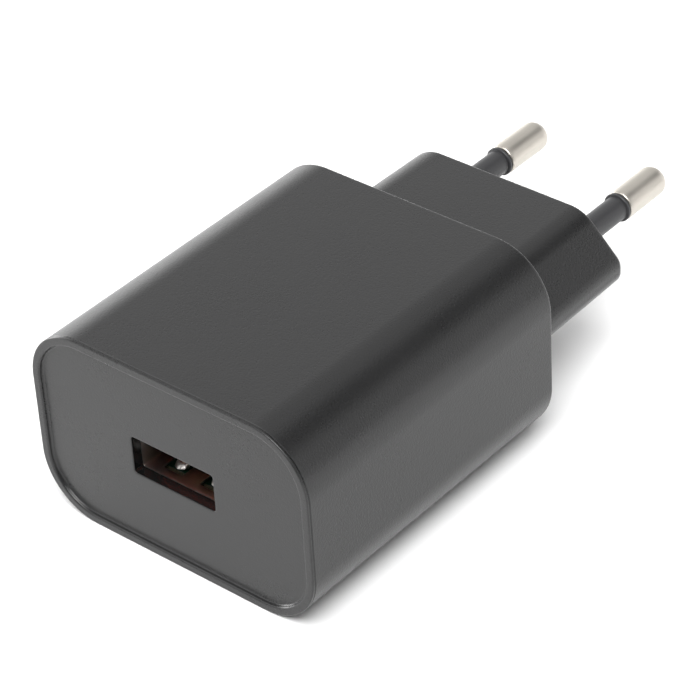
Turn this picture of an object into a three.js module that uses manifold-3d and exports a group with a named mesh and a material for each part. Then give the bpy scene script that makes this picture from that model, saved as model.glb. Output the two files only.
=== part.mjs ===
// USB wall charger with a fixed two-pin Europlug, modelled in millimetres, +Z up.
// X runs across the front panel, -Y looks out of the USB port and +Y is the way the pins point.
// The origin is the bottom centre of the whole charger's box, so it lies on its flat underside.

import * as THREE from 'three';
import { mergeVertices } from 'three/addons/utils/BufferGeometryUtils.js';
import Module from 'manifold-3d';

const wasm = await Module();
wasm.setup();

// Driving dimensions of the casing.
const BODY_WIDTH = 41.6;
const BODY_HEIGHT = 26.4;
const BODY_LENGTH = 44.5;
const BODY_CORNER = 7.8;
const WALL = 2.0;
const NECK_LENGTH = 18.5;
const PIN_LENGTH = 19.5;

// Europlug engagement face and the extra width of the drafted neck at its root.
const NECK_WIDTH = 35.3;
const NECK_HEIGHT = 13.4;
const NECK_FLAT = 24.2;
const NECK_SIDE_FLAT = 2.3;
const NECK_SLANT_RADIUS = 4.9;
const NECK_SIDE_RADIUS = 2.0;
const NECK_DRAFT = 0.85;
const NECK_REAR_WALL = 3.0;

// Stations along Y.
const TOTAL_LENGTH = BODY_LENGTH + NECK_LENGTH + PIN_LENGTH;
const FRONT = -TOTAL_LENGTH / 2;
const BODY_REAR = FRONT + BODY_LENGTH;
const NECK_REAR = BODY_REAR + NECK_LENGTH;
const PIN_TIP = NECK_REAR + PIN_LENGTH;
const MID_HEIGHT = BODY_HEIGHT / 2;

// Front cap: a thin flange over the housing's end, a plug inside it and a recessed panel.
const FLANGE = 0.4;
const SEAM_GAP = 0.05;
const CAP_INSET = 0.85;
const LIP_WALL = 0.8;
const RIM_WIDTH = 1.15;
const PANEL_RECESS = 0.55;
const PANEL_THICKNESS = 1.45;
const SKIRT_DEPTH = 4.0;
const SKIRT_WALL = 1.1;
const LIP_DEPTH = 4.2;

// Pins: a bare nickel-plated end, and a thinner core inside an insulating sleeve.
const PIN_SPACING = 18.6;
const PIN_RADIUS = 2.0;
const PIN_BARE = 8.4;
const PIN_TIP_ROUND = 1.5;
const PIN_CORE_RADIUS = 1.2;
const SLEEVE_BORE = 1.25;
const SLEEVE_RADIUS = 1.64;
const COLLAR_RADIUS = 1.95;
const COLLAR_LENGTH = 0.45;
const COLLAR_TAPER = 0.1;
const BORE_CLEARANCE = 0.08;
const PIN_FLANGE = 0.8;
const PIN_SHOULDER = 0.15;
const FIT_GAP = 0.1;
const PIN_FLANGE_END = NECK_REAR - NECK_REAR_WALL - FIT_GAP;
const PIN_INNER_END = NECK_REAR - NECK_REAR_WALL - 2.0;

// USB type A receptacle.
const USB_HEIGHT = 13.0;
const PORT_WIDTH = 12.4;
const PORT_OPENING = 5.2;
const PORT_CORNER = 0.4;
const SHELL_WIDTH = 12.5;
const SHELL_HEIGHT = 5.12;
const SHEET = 0.3;
const SHELL_LENGTH = 14.0;
const SHELL_FRONT = FRONT + PANEL_RECESS + PANEL_THICKNESS + 0.1;
const SHELL_REAR = SHELL_FRONT + SHELL_LENGTH;
const SHELL_OUTER_BEND = 0.6;
const SHELL_INNER_BEND = 0.3;
const LEG_STATIONS = [SHELL_FRONT + 4.2, SHELL_FRONT + 10.2];
const LEG_WIDTH = 1.6;
const LEG_OVERLAP = 1.2;
const FINGER_X = 2.8;
const FINGER_WIDTH = 1.7;
const FINGER_TIP = SHELL_FRONT + 2.1;
const FINGER_ROOT = SHELL_FRONT + 7.4;
const FINGER_RISE = 0.45;
const FINGER_CURL = 0.2;
const FINGER_WINDOW = 3.0;
const FINGER_WINDOW_FRONT = SHELL_FRONT + 1.15;
const TONGUE_WIDTH = 11.1;
const TONGUE_THICKNESS = 1.84;
const TONGUE_BOTTOM = USB_HEIGHT + 0.1;
const TONGUE_FRONT = SHELL_FRONT + 1.6;
const BLOCK_FRONT = SHELL_FRONT + 10.9;
const BLOCK_REAR = SHELL_FRONT + 13.7;
const CONTACT_X = [-3.5, -1.0, 1.0, 3.5];
const CONTACT_WIDTH = 1.0;
const CONTACT_SHEET = 0.25;
const GROOVE_WIDTH = 1.3;
const GROOVE_DEPTH = 1.05;
const CONTACT_LEVEL = TONGUE_BOTTOM + 0.68;
const CONTACT_BOW = 0.34;
const TAIL_Y = BLOCK_REAR + 1.3;
const TAIL_PIN_WIDTH = 0.6;

// Main board.
const BOARD_TOP = 10.0;
const BOARD_THICKNESS = 1.6;
const BOARD_BOTTOM = BOARD_TOP - BOARD_THICKNESS;
const BOARD_WIDTH = 34.0;
const BOARD_FRONT = FRONT + 4.3;
const BOARD_REAR = BODY_REAR - WALL - 0.85;
const SEAT = BOARD_TOP + 0.05;
const UNDERSIDE = BOARD_BOTTOM - 0.05;
const LEAD_END = BOARD_BOTTOM - 1.0;
const LEAD_RADIUS = 0.3;
const LEAD_HOLE_RADIUS = 0.45;
const RAIL_HEIGHT = 0.8;
const RAIL_FRONT = FRONT + 4.8;
const BOARD_CLEARANCE = 0.05;

// Transformer, standing on the board with its core across the width.
const CORE_WIDTH = 16.0;
const CORE_DEPTH = 5.0;
const CORE_HEIGHT = 12.4;
const CORE_YOKE = 2.3;
const CORE_LEG = 2.4;
const CORE_CENTRE_LEG = 4.0;
const CORE_BASE = BOARD_TOP + 0.8;
const TRANSFORMER_Y = -16.6;
const BOBBIN_DEPTH = 13.6;
const BOBBIN_FLANGE = 0.8;
const RAIL_DEPTH = 2.4;
const TRANSFORMER_PIN_RADIUS = 0.32;
const TRANSFORMER_PIN_HOLE = 0.55;
const PRIMARY_BUILD = 1.1;
const SECONDARY_BUILD = 0.8;
const TAPE_BUILD = 0.15;

// Contact springs that carry the mains from the pins to the board.
const SPRING_SHEET = 0.4;
const SPRING_WIDTH = 3.6;
const SPRING_FOOT_Y = BOARD_REAR - 2.2;
const SPRING_TAB_WIDTH = 1.8;
const SPRING_GAP = 0.25;

// Components on the board, each placed by the middle of its footprint.
const INPUT_CAPACITORS = [{ x: -12.5, y: -19.4 }, { x: -12.5, y: -10.2 }];
const INPUT_CAPACITOR_HEIGHT = 12.0;
const OUTPUT_CAPACITORS = [{ x: -11.6, y: -31.2 }, { x: 11.6, y: -31.2 }];
const OUTPUT_CAPACITOR_HEIGHT = 11.0;
const CAPACITOR_RADIUS = 4.0;
const CAPACITOR_PITCH = 3.5;
const RESISTOR = { x: -2.4, y: -6.0, level: SEAT + 2.4, length: 8.8, radius: 1.7, waist: 1.5, lead: 0.6 };
const CHOKE = { x: 5.6, y: -4.9, radius: 2.9, neck: 1.5, base: 1.2, top: 6.4, height: 7.4, wire: 2.75 };
const DISC = { x: 12.6, y: -18.4, level: SEAT + 5.6, radius: 3.6, face: 2.6, thickness: 3.2, pitch: 5.0 };
const TRANSISTOR = { x: 13.4, y: -4.4, radius: 2.4, base: SEAT + 2.2, top: SEAT + 7.0, pitch: 1.27 };
const DIODE = { x: 11.2, y: -24.6, radius: 1.8, base: SEAT + 1.0, top: SEAT + 8.0, reach: 3.2, wire: 0.6 };
const OPTO_BASE = SEAT + 0.5;
const OPTOCOUPLER = { x: 12.8, y: -11.2, width: 6.4, depth: 4.6, height: 3.1, pitch: 2.54 };
const BRIDGE = { x: -1.5, y: -5.6, width: 4.7, depth: 3.9, height: 2.6, feet: 2, pitch: 2.54 };
const CONTROLLER = { x: 3.6, y: -14.5, width: 4.9, depth: 3.9, height: 1.6, feet: 4, pitch: 1.27 };

const ARC_STEPS = 7;
const ROUND_STEPS = 20;

// ---------- shapes ----------

function roundedRectangle(width, height, radius, centreX = 0, centreY = 0) {
  const right = width / 2 - radius;
  const top = height / 2 - radius;
  const shape = new THREE.Shape();
  shape.absarc(centreX + right, centreY - top, radius, -Math.PI / 2, 0, false);
  shape.absarc(centreX + right, centreY + top, radius, 0, Math.PI / 2, false);
  shape.absarc(centreX - right, centreY + top, radius, Math.PI / 2, Math.PI, false);
  shape.absarc(centreX - right, centreY - top, radius, Math.PI, 1.5 * Math.PI, false);
  shape.closePath();
  return shape;
}

// A counter-clockwise convex polygon whose corners are replaced by tangent arcs.
function roundedPolygon(corners) {
  const shape = new THREE.Shape();
  corners.forEach((corner, index) => {
    const before = corners.at(index - 1).point;
    const after = corners[(index + 1) % corners.length].point;
    const toBefore = before.clone().sub(corner.point).normalize();
    const toAfter = after.clone().sub(corner.point).normalize();
    const halfAngle = Math.acos(toBefore.dot(toAfter)) / 2;
    const bisector = toBefore.clone().add(toAfter).normalize();
    const centre = corner.point.clone().addScaledVector(bisector, corner.radius / Math.sin(halfAngle));
    const tangent = corner.radius / Math.tan(halfAngle);
    const start = corner.point.clone().addScaledVector(toBefore, tangent).sub(centre);
    const end = corner.point.clone().addScaledVector(toAfter, tangent).sub(centre);
    shape.absarc(centre.x, centre.y, corner.radius, start.angle(), end.angle(), false);
  });
  shape.closePath();
  return shape;
}

// The rounded outline of the body, shrunk evenly by the inset.
function bodyOutline(inset = 0) {
  return roundedRectangle(
    BODY_WIDTH - 2 * inset, BODY_HEIGHT - 2 * inset, BODY_CORNER - inset, 0, MID_HEIGHT);
}

// The Europlug outline: a flat octagon with 45 degree slants, shrunk evenly by the inset.
function neckOutline(inset = 0) {
  const halfWidth = NECK_WIDTH / 2 - inset;
  const halfHeight = NECK_HEIGHT / 2 - inset;
  const cornerShift = inset * Math.tan(Math.PI / 8);
  const flat = NECK_FLAT / 2 - cornerShift;
  const side = NECK_SIDE_FLAT / 2 - cornerShift;
  const slantRadius = Math.max(NECK_SLANT_RADIUS - inset, 0.5);
  const sideRadius = Math.max(NECK_SIDE_RADIUS - inset, 0.3);
  const corner = (x, z, radius) => ({ point: new THREE.Vector2(x, MID_HEIGHT + z), radius });
  return roundedPolygon([
    corner(-flat, -halfHeight, slantRadius),
    corner(flat, -halfHeight, slantRadius),
    corner(halfWidth, -side, sideRadius),
    corner(halfWidth, side, sideRadius),
    corner(flat, halfHeight, slantRadius),
    corner(-flat, halfHeight, slantRadius),
    corner(-halfWidth, side, sideRadius),
    corner(-halfWidth, -side, sideRadius),
  ]);
}

// The outline of a strip of sheet that follows a line of points, as bent sheet metal does.
function stripOutline(points, thickness) {
  const line = points.map(([u, v]) => new THREE.Vector2(u, v));
  const normal = (a, b) => new THREE.Vector2(a.y - b.y, b.x - a.x).normalize();
  const offsets = line.map((point, index) => {
    const into = index > 0 ? normal(line[index - 1], point) : normal(point, line[1]);
    const out = index < line.length - 1 ? normal(point, line[index + 1]) : into;
    const mitre = into.clone().add(out).normalize();
    return mitre.multiplyScalar(thickness / 2 / mitre.dot(into));
  });
  const left = line.map((point, index) => point.clone().add(offsets[index]));
  const right = line.map((point, index) => point.clone().sub(offsets[index]));
  return new THREE.Shape([...right, ...left.reverse()]);
}

// ---------- extrusions and solids ----------

const TURN_TO_Y = new THREE.Matrix4().makeRotationX(Math.PI / 2);
const TURN_TO_X = new THREE.Matrix4().makeBasis(
  new THREE.Vector3(0, 1, 0), new THREE.Vector3(0, 0, 1), new THREE.Vector3(1, 0, 0));

function extrude(shape, depth, curveSegments = ARC_STEPS) {
  return new THREE.ExtrudeGeometry(shape, { depth, bevelEnabled: false, curveSegments });
}

// A shape drawn in X and Z, extruded from one station to another along Y.
function alongY(shape, from, to, curveSegments) {
  return extrude(shape, to - from, curveSegments).applyMatrix4(TURN_TO_Y).translate(0, to, 0);
}

// A shape drawn in Y and Z, extruded along X.
function alongX(shape, from, to) {
  return extrude(shape, to - from).applyMatrix4(TURN_TO_X).translate(from, 0, 0);
}

function alongZ(shape, from, to, curveSegments) {
  return extrude(shape, to - from, curveSegments).translate(0, 0, from);
}

function block(x0, x1, y0, y1, z0, z1) {
  const geometry = new THREE.BoxGeometry(x1 - x0, y1 - y0, z1 - z0);
  return geometry.translate((x0 + x1) / 2, (y0 + y1) / 2, (z0 + z1) / 2);
}

function rodAlongY(radius, from, to, x, z) {
  const geometry = new THREE.CylinderGeometry(radius, radius, to - from, ROUND_STEPS);
  return geometry.translate(x, (from + to) / 2, z);
}

function rodAlongZ(radius, from, to, x, y, steps = ROUND_STEPS) {
  const geometry = new THREE.CylinderGeometry(radius, radius, to - from, steps);
  return geometry.applyMatrix4(TURN_TO_Y).translate(x, y, (from + to) / 2);
}

// A profile of [radius, height] pairs turned about an upright axis, points from the bottom up.
function turnedAlongZ(profile, x, y, steps = ROUND_STEPS) {
  const points = profile.map(([radius, height]) => new THREE.Vector2(radius, height));
  return new THREE.LatheGeometry(points, steps).applyMatrix4(TURN_TO_Y).translate(x, y, 0);
}

function toManifold(geometry) {
  const plain = geometry.clone();
  plain.deleteAttribute('normal');
  plain.deleteAttribute('uv');
  const merged = mergeVertices(plain, 1e-5);
  return new wasm.Manifold(new wasm.Mesh({
    numProp: 3,
    vertProperties: new Float32Array(merged.attributes.position.array),
    triVerts: new Uint32Array(merged.index.array),
  }));
}

function toGeometry(manifold) {
  const mesh = manifold.getMesh();
  const geometry = new THREE.BufferGeometry();
  geometry.setAttribute('position', new THREE.BufferAttribute(mesh.vertProperties, 3));
  geometry.setIndex(new THREE.BufferAttribute(mesh.triVerts, 1));
  geometry.computeVertexNormals();
  return geometry;
}

function joined(first, ...others) {
  return others.reduce((sum, next) => sum.add(toManifold(next)), toManifold(first));
}

function without(manifold, ...tools) {
  return tools.reduce((rest, tool) => rest.subtract(toManifold(tool)), manifold);
}

// ---------- materials ----------

function material(color, roughness, metalness = 0) {
  return new THREE.MeshStandardMaterial({ color, roughness, metalness });
}

const casingPlastic = () => material(0x4c4c4e, 0.55);
const sleevePlastic = () => material(0x2a2a2c, 0.5);
const nickel = () => material(0xcfc9be, 0.25, 1);
const gold = () => material(0xd9a441, 0.3, 1);
const redPlastic = () => material(0xb5301c, 0.5);
const tinnedSteel = () => material(0xb9bcc0, 0.35, 1);
const boardGreen = () => material(0x2c6b3a, 0.6);
const blackEpoxy = () => material(0x1b1b1d, 0.6);
const ferrite = () => material(0x3a3a3e, 0.7);
const copper = () => material(0xb8683a, 0.35, 1);
const blackSleeve = () => material(0x23252b, 0.4);
const blueSleeve = () => material(0x2b3f7a, 0.4);
const yellowTape = () => material(0xe0b020, 0.45);
const greenCoat = () => material(0x5d8f86, 0.5);
const blueCoat = () => material(0x2f63b8, 0.45);
const whiteEpoxy = () => material(0xe9e6dc, 0.5);

// ---------- casing ----------

// The sleeve-like housing: a rounded box open at the front, with the drafted Europlug neck behind.
function housing() {
  const open = FRONT + FLANGE + SEAM_GAP;
  const innerWall = NECK_REAR - NECK_REAR_WALL;
  const outside = joined(alongY(bodyOutline(), open, BODY_REAR), draftedNeck());
  const cavities = [
    alongY(bodyOutline(LIP_WALL), FRONT - 1, FRONT + LIP_DEPTH),
    alongY(bodyOutline(WALL), FRONT, BODY_REAR - WALL),
    alongY(neckOutline(WALL), BODY_REAR - WALL - 1, innerWall),
  ];
  const boreRadius = SLEEVE_RADIUS + BORE_CLEARANCE;
  const bores = [-1, 1].map((side) => (
    rodAlongY(boreRadius, innerWall - 1, NECK_REAR + 1, side * PIN_SPACING / 2, MID_HEIGHT)
  ));
  const shell = without(outside, ...cavities, ...bores);
  return toGeometry(guideRails().reduce((sum, rail) => sum.add(toManifold(rail)), shell));
}

function draftedNeck() {
  const geometry = alongY(neckOutline(), BODY_REAR - WALL / 2, NECK_REAR, 5);
  const position = geometry.attributes.position;
  for (let index = 0; index < position.count; index += 1) {
    const towardsRoot = (NECK_REAR - position.getY(index)) / NECK_LENGTH;
    position.setX(index, position.getX(index) * (1 + towardsRoot * NECK_DRAFT / NECK_WIDTH));
  }
  return geometry;
}

// Two rails on each side wall, one under and one over the board's edge.
function guideRails() {
  const inner = BOARD_WIDTH / 2 - 0.3;
  const outer = BODY_WIDTH / 2 - WALL / 2;
  const under = BOARD_BOTTOM - BOARD_CLEARANCE;
  const over = BOARD_TOP + BOARD_CLEARANCE;
  const rails = [];
  for (const side of [-1, 1]) {
    const [low, high] = side < 0 ? [-outer, -inner] : [inner, outer];
    rails.push(block(low, high, RAIL_FRONT, BOARD_REAR, under - RAIL_HEIGHT, under));
    rails.push(block(low, high, RAIL_FRONT, BOARD_REAR, over, over + RAIL_HEIGHT));
  }
  return rails;
}

// The cap: a thin flange over the housing's end, a skirt inside it and the recessed port panel.
function frontCap() {
  const panelBack = FRONT + PANEL_RECESS + PANEL_THICKNESS;
  const plug = alongY(bodyOutline(CAP_INSET), FRONT + FLANGE / 2, FRONT + SKIRT_DEPTH);
  const flange = alongY(bodyOutline(), FRONT, FRONT + FLANGE);
  const port = roundedRectangle(PORT_WIDTH, PORT_OPENING, PORT_CORNER, 0, USB_HEIGHT);
  return toGeometry(without(
    joined(plug, flange),
    alongY(bodyOutline(CAP_INSET + SKIRT_WALL), panelBack, FRONT + SKIRT_DEPTH + 1),
    alongY(bodyOutline(RIM_WIDTH), FRONT - 1, FRONT + PANEL_RECESS),
    alongY(port, FRONT - 1, panelBack + 1, 3),
  ));
}

// ---------- mains pins ----------

function pin(side) {
  const bareStart = PIN_TIP - PIN_BARE;
  const rounding = [];
  for (let step = 0; step <= 5; step += 1) {
    const angle = step / 5 * Math.PI / 2;
    rounding.push([
      PIN_RADIUS - PIN_TIP_ROUND * (1 - Math.cos(angle)),
      PIN_TIP - PIN_TIP_ROUND * (1 - Math.sin(angle)),
    ]);
  }
  const profile = [
    [0, PIN_INNER_END],
    [PIN_CORE_RADIUS, PIN_INNER_END],
    [PIN_CORE_RADIUS, PIN_FLANGE_END - PIN_FLANGE],
    [PIN_RADIUS, PIN_FLANGE_END - PIN_FLANGE],
    [PIN_RADIUS, PIN_FLANGE_END],
    [PIN_CORE_RADIUS, PIN_FLANGE_END],
    [PIN_CORE_RADIUS, bareStart],
    [PIN_RADIUS - PIN_SHOULDER, bareStart],
    [PIN_RADIUS, bareStart + PIN_SHOULDER],
    ...rounding,
    [0, PIN_TIP],
  ];
  const points = profile.map(([radius, along]) => new THREE.Vector2(radius, along));
  return new THREE.LatheGeometry(points, ROUND_STEPS).translate(side * PIN_SPACING / 2, 0, MID_HEIGHT);
}

function pinSleeve(side) {
  const start = NECK_REAR - NECK_REAR_WALL;
  const end = PIN_TIP - PIN_BARE - FIT_GAP;
  const profile = [
    [SLEEVE_BORE, start],
    [SLEEVE_RADIUS, start],
    [SLEEVE_RADIUS, end - COLLAR_LENGTH - COLLAR_TAPER],
    [COLLAR_RADIUS, end - COLLAR_LENGTH],
    [COLLAR_RADIUS, end],
    [SLEEVE_BORE, end],
    [SLEEVE_BORE, start],
  ];
  const points = profile.map(([radius, along]) => new THREE.Vector2(radius, along));
  return new THREE.LatheGeometry(points, ROUND_STEPS).translate(side * PIN_SPACING / 2, 0, MID_HEIGHT);
}

// A bent leaf: a tab soldered through the board, a riser and an arm that presses on the pin's end.
function contactSpring(side) {
  const line = [
    [SPRING_FOOT_Y, LEAD_END],
    [SPRING_FOOT_Y, MID_HEIGHT - 0.4],
    [SPRING_FOOT_Y + 0.6, MID_HEIGHT],
    [PIN_INNER_END - 2.4, MID_HEIGHT],
    [PIN_INNER_END - 0.6, MID_HEIGHT + 1.4],
    [PIN_INNER_END - SPRING_GAP, MID_HEIGHT + 0.6],
    [PIN_INNER_END - SPRING_GAP, MID_HEIGHT - 1.6],
  ];
  const centre = side * PIN_SPACING / 2;
  const leaf = alongX(stripOutline(line, SPRING_SHEET), centre - SPRING_WIDTH / 2, centre + SPRING_WIDTH / 2);
  const shoulders = [-1, 1].map((edge) => {
    const near = centre + edge * SPRING_TAB_WIDTH / 2;
    const far = centre + edge * (SPRING_WIDTH / 2 + 1);
    return block(Math.min(near, far), Math.max(near, far), SPRING_FOOT_Y - 1, SPRING_FOOT_Y + 1, 0, SEAT);
  });
  return toGeometry(without(toManifold(leaf), ...shoulders));
}

// ---------- USB receptacle ----------

// The drawn steel shell, with sprung fingers stamped out of its floor and roof and four board legs.
function usbShell() {
  const outerWidth = SHELL_WIDTH + 2 * SHEET;
  const outerHeight = SHELL_HEIGHT + 2 * SHEET;
  const outer = roundedRectangle(outerWidth, outerHeight, SHELL_OUTER_BEND, 0, USB_HEIGHT);
  const inner = roundedRectangle(SHELL_WIDTH, SHELL_HEIGHT, SHELL_INNER_BEND, 0, USB_HEIGHT);
  let shell = without(
    toManifold(alongY(outer, SHELL_FRONT, SHELL_REAR, 3)),
    alongY(inner, SHELL_FRONT - 1, SHELL_REAR + 1, 3),
  );
  for (const side of [-1, 1]) {
    for (const face of [-1, 1]) {
      shell = without(shell, fingerWindow(side * FINGER_X, face));
      shell = shell.add(toManifold(finger(side * FINGER_X, face)));
    }
    for (const station of LEG_STATIONS) {
      shell = shell.add(toManifold(shellLeg(side, station)));
    }
  }
  return toGeometry(shell);
}

function fingerWindow(x, face) {
  const level = USB_HEIGHT + face * (SHELL_HEIGHT + SHEET) / 2;
  const half = FINGER_WINDOW / 2;
  return block(x - half, x + half, FINGER_WINDOW_FRONT, FINGER_ROOT, level - SHEET, level + SHEET);
}

// A finger is rooted at the back of its window, bows into the port and curls outwards at its tip.
function finger(x, face) {
  const level = USB_HEIGHT + face * (SHELL_HEIGHT + SHEET) / 2;
  const line = [
    [FINGER_ROOT + 0.2, level],
    [FINGER_ROOT - 0.5, level],
    [FINGER_TIP + 1.3, level - face * FINGER_RISE],
    [FINGER_TIP + 0.8, level - face * FINGER_RISE],
    [FINGER_TIP, level + face * FINGER_CURL],
  ];
  return alongX(stripOutline(line, SHEET * 0.98), x - FINGER_WIDTH / 2, x + FINGER_WIDTH / 2);
}

function shellLeg(side, y) {
  const inside = side * SHELL_WIDTH / 2;
  const outside = inside + side * SHEET;
  const top = USB_HEIGHT - SHELL_HEIGHT / 2 + LEG_OVERLAP;
  return block(
    Math.min(inside, outside), Math.max(inside, outside), y - LEG_WIDTH / 2, y + LEG_WIDTH / 2, LEAD_END, top);
}

// The insulator: a block that closes the back of the shell and the tongue that carries the contacts.
function usbTongue() {
  const halfBlock = SHELL_WIDTH / 2 - FIT_GAP;
  const halfHeight = SHELL_HEIGHT / 2 - FIT_GAP;
  const top = TONGUE_BOTTOM + TONGUE_THICKNESS;
  const body = joined(
    block(-halfBlock, halfBlock, BLOCK_FRONT, BLOCK_REAR, USB_HEIGHT - halfHeight, USB_HEIGHT + halfHeight),
    block(-TONGUE_WIDTH / 2, TONGUE_WIDTH / 2, TONGUE_FRONT, BLOCK_FRONT + 1, TONGUE_BOTTOM, top),
  );
  const grooves = CONTACT_X.map((x) => (
    block(x - GROOVE_WIDTH / 2, x + GROOVE_WIDTH / 2, TONGUE_FRONT + 0.5, BLOCK_FRONT + 0.4,
      TONGUE_BOTTOM - 1, TONGUE_BOTTOM + GROOVE_DEPTH)
  ));
  const slots = CONTACT_X.map((x) => (
    block(x - CONTACT_WIDTH / 2 - 0.08, x + CONTACT_WIDTH / 2 + 0.08, BLOCK_FRONT, BLOCK_REAR + 1,
      CONTACT_LEVEL - 0.22, CONTACT_LEVEL + 0.22)
  ));
  return toGeometry(without(body, ...grooves, ...slots));
}

// The sprung half of a contact: it bows below the tongue and is pushed up into its groove by a plug.
function contactArm(x) {
  const line = [
    [BLOCK_FRONT + 0.25, CONTACT_LEVEL],
    [BLOCK_FRONT - 1.2, CONTACT_LEVEL],
    [TONGUE_FRONT + 3.4, TONGUE_BOTTOM - 0.22],
    [TONGUE_FRONT + 2.6, TONGUE_BOTTOM - CONTACT_BOW],
    [TONGUE_FRONT + 1.9, TONGUE_BOTTOM - 0.2],
    [TONGUE_FRONT + 0.9, TONGUE_BOTTOM + 0.4],
  ];
  return alongX(stripOutline(line, CONTACT_SHEET), x - CONTACT_WIDTH / 2, x + CONTACT_WIDTH / 2);
}

// The fixed half of a contact: it leaves the insulator's back and turns down through the board.
function contactTail(x) {
  const line = [
    [BLOCK_FRONT + 0.55, CONTACT_LEVEL],
    [TAIL_Y - 0.4, CONTACT_LEVEL],
    [TAIL_Y, CONTACT_LEVEL - 0.4],
    [TAIL_Y, LEAD_END],
  ];
  const strip = alongX(stripOutline(line, CONTACT_SHEET), x - CONTACT_WIDTH / 2, x + CONTACT_WIDTH / 2);
  const trims = [-1, 1].map((edge) => {
    const near = x + edge * TAIL_PIN_WIDTH / 2;
    const far = x + edge * CONTACT_WIDTH;
    return block(Math.min(near, far), Math.max(near, far), BLOCK_REAR, TAIL_Y + 1, 0, SEAT + 0.4);
  });
  return toGeometry(without(toManifold(strip), ...trims));
}

// ---------- board and components ----------

function boardHoles() {
  const holes = [];
  const hole = (x, y, radius = LEAD_HOLE_RADIUS) => {
    holes.push(rodAlongZ(radius, BOARD_BOTTOM - 1, BOARD_TOP + 1, x, y, 8));
  };
  for (const { x, y } of [...INPUT_CAPACITORS, ...OUTPUT_CAPACITORS]) {
    hole(x - CAPACITOR_PITCH / 2, y);
    hole(x + CAPACITOR_PITCH / 2, y);
  }
  for (const { x, y } of TRANSFORMER_PINS) {
    hole(x, y, TRANSFORMER_PIN_HOLE);
  }
  for (const x of CONTACT_X) {
    hole(x, TAIL_Y);
  }
  const slot = (x, y, width, depth) => {
    holes.push(block(
      x - width / 2, x + width / 2, y - depth / 2, y + depth / 2, BOARD_BOTTOM - 1, BOARD_TOP + 1));
  };
  for (const side of [-1, 1]) {
    for (const station of LEG_STATIONS) {
      slot(side * (SHELL_WIDTH + SHEET) / 2, station, 2 * SHEET, LEG_WIDTH + 0.4);
    }
    slot(side * PIN_SPACING / 2, SPRING_FOOT_Y, SPRING_TAB_WIDTH + 0.3, SPRING_SHEET + 0.3);
  }
  return holes;
}

function mainBoard() {
  const outline = roundedRectangle(
    BOARD_WIDTH, BOARD_REAR - BOARD_FRONT, 1.0, 0, (BOARD_REAR + BOARD_FRONT) / 2);
  const board = toManifold(alongZ(outline, BOARD_BOTTOM, BOARD_TOP, 3));
  return toGeometry(without(board, ...boardHoles()));
}

// A radial electrolytic can with a crimp groove near the base, a dished vent and two leads.
function electrolytic({ x, y }, height) {
  const radius = CAPACITOR_RADIUS;
  const can = turnedAlongZ([
    [0, SEAT],
    [radius - 0.2, SEAT],
    [radius, SEAT + 0.2],
    [radius, SEAT + 1.1],
    [radius - 0.35, SEAT + 1.5],
    [radius, SEAT + 1.9],
    [radius, SEAT + height - 0.3],
    [radius - 0.3, SEAT + height],
    [radius - 0.6, SEAT + height],
    [radius - 0.8, SEAT + height - 0.3],
    [0, SEAT + height - 0.3],
  ], x, y);
  const leads = [-1, 1].map((side) => (
    rodAlongZ(LEAD_RADIUS, LEAD_END, SEAT + 0.1, x + side * CAPACITOR_PITCH / 2, y, 8)
  ));
  return toGeometry(joined(can, ...leads));
}

// ---------- transformer ----------

const CORE_MID = CORE_BASE + CORE_HEIGHT / 2;
const WINDOW_BASE = CORE_BASE + CORE_YOKE;
const WINDOW_HEIGHT = CORE_HEIGHT - 2 * CORE_YOKE;
const WINDOW_WIDTH = (CORE_WIDTH - 2 * CORE_LEG - CORE_CENTRE_LEG) / 2;
const BOBBIN_WIDTH = CORE_WIDTH - 2 * CORE_LEG - 0.4;
const TRANSFORMER_PINS = [-3.6, 0, 3.6].flatMap((x) => [-1, 1].map((side) => (
  { x, y: TRANSFORMER_Y + side * (BOBBIN_DEPTH - RAIL_DEPTH) / 2 }
)));

// One E-shaped ferrite half: a yoke with three legs that reach the joint at mid height.
function coreHalf(direction) {
  const joint = CORE_MID + direction * 0.03;
  const yokeInner = CORE_MID + direction * WINDOW_HEIGHT / 2;
  const yokeOuter = CORE_MID + direction * CORE_HEIGHT / 2;
  const nearY = TRANSFORMER_Y - CORE_DEPTH / 2;
  const farY = TRANSFORMER_Y + CORE_DEPTH / 2;
  const span = (x0, x1, z0, z1) => block(x0, x1, nearY, farY, Math.min(z0, z1), Math.max(z0, z1));
  const half = CORE_WIDTH / 2;
  const whole = span(-half, half, joint, yokeOuter);
  const centre = CORE_CENTRE_LEG / 2;
  return toGeometry(without(
    toManifold(whole),
    span(-centre - WINDOW_WIDTH, -centre, joint - direction, yokeInner),
    span(centre, centre + WINDOW_WIDTH, joint - direction, yokeInner),
  ));
}

const COIL_BASE = WINDOW_BASE + 0.1 + BOBBIN_FLANGE;
const COIL_TOP = WINDOW_BASE + WINDOW_HEIGHT - 0.1 - BOBBIN_FLANGE;

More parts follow.
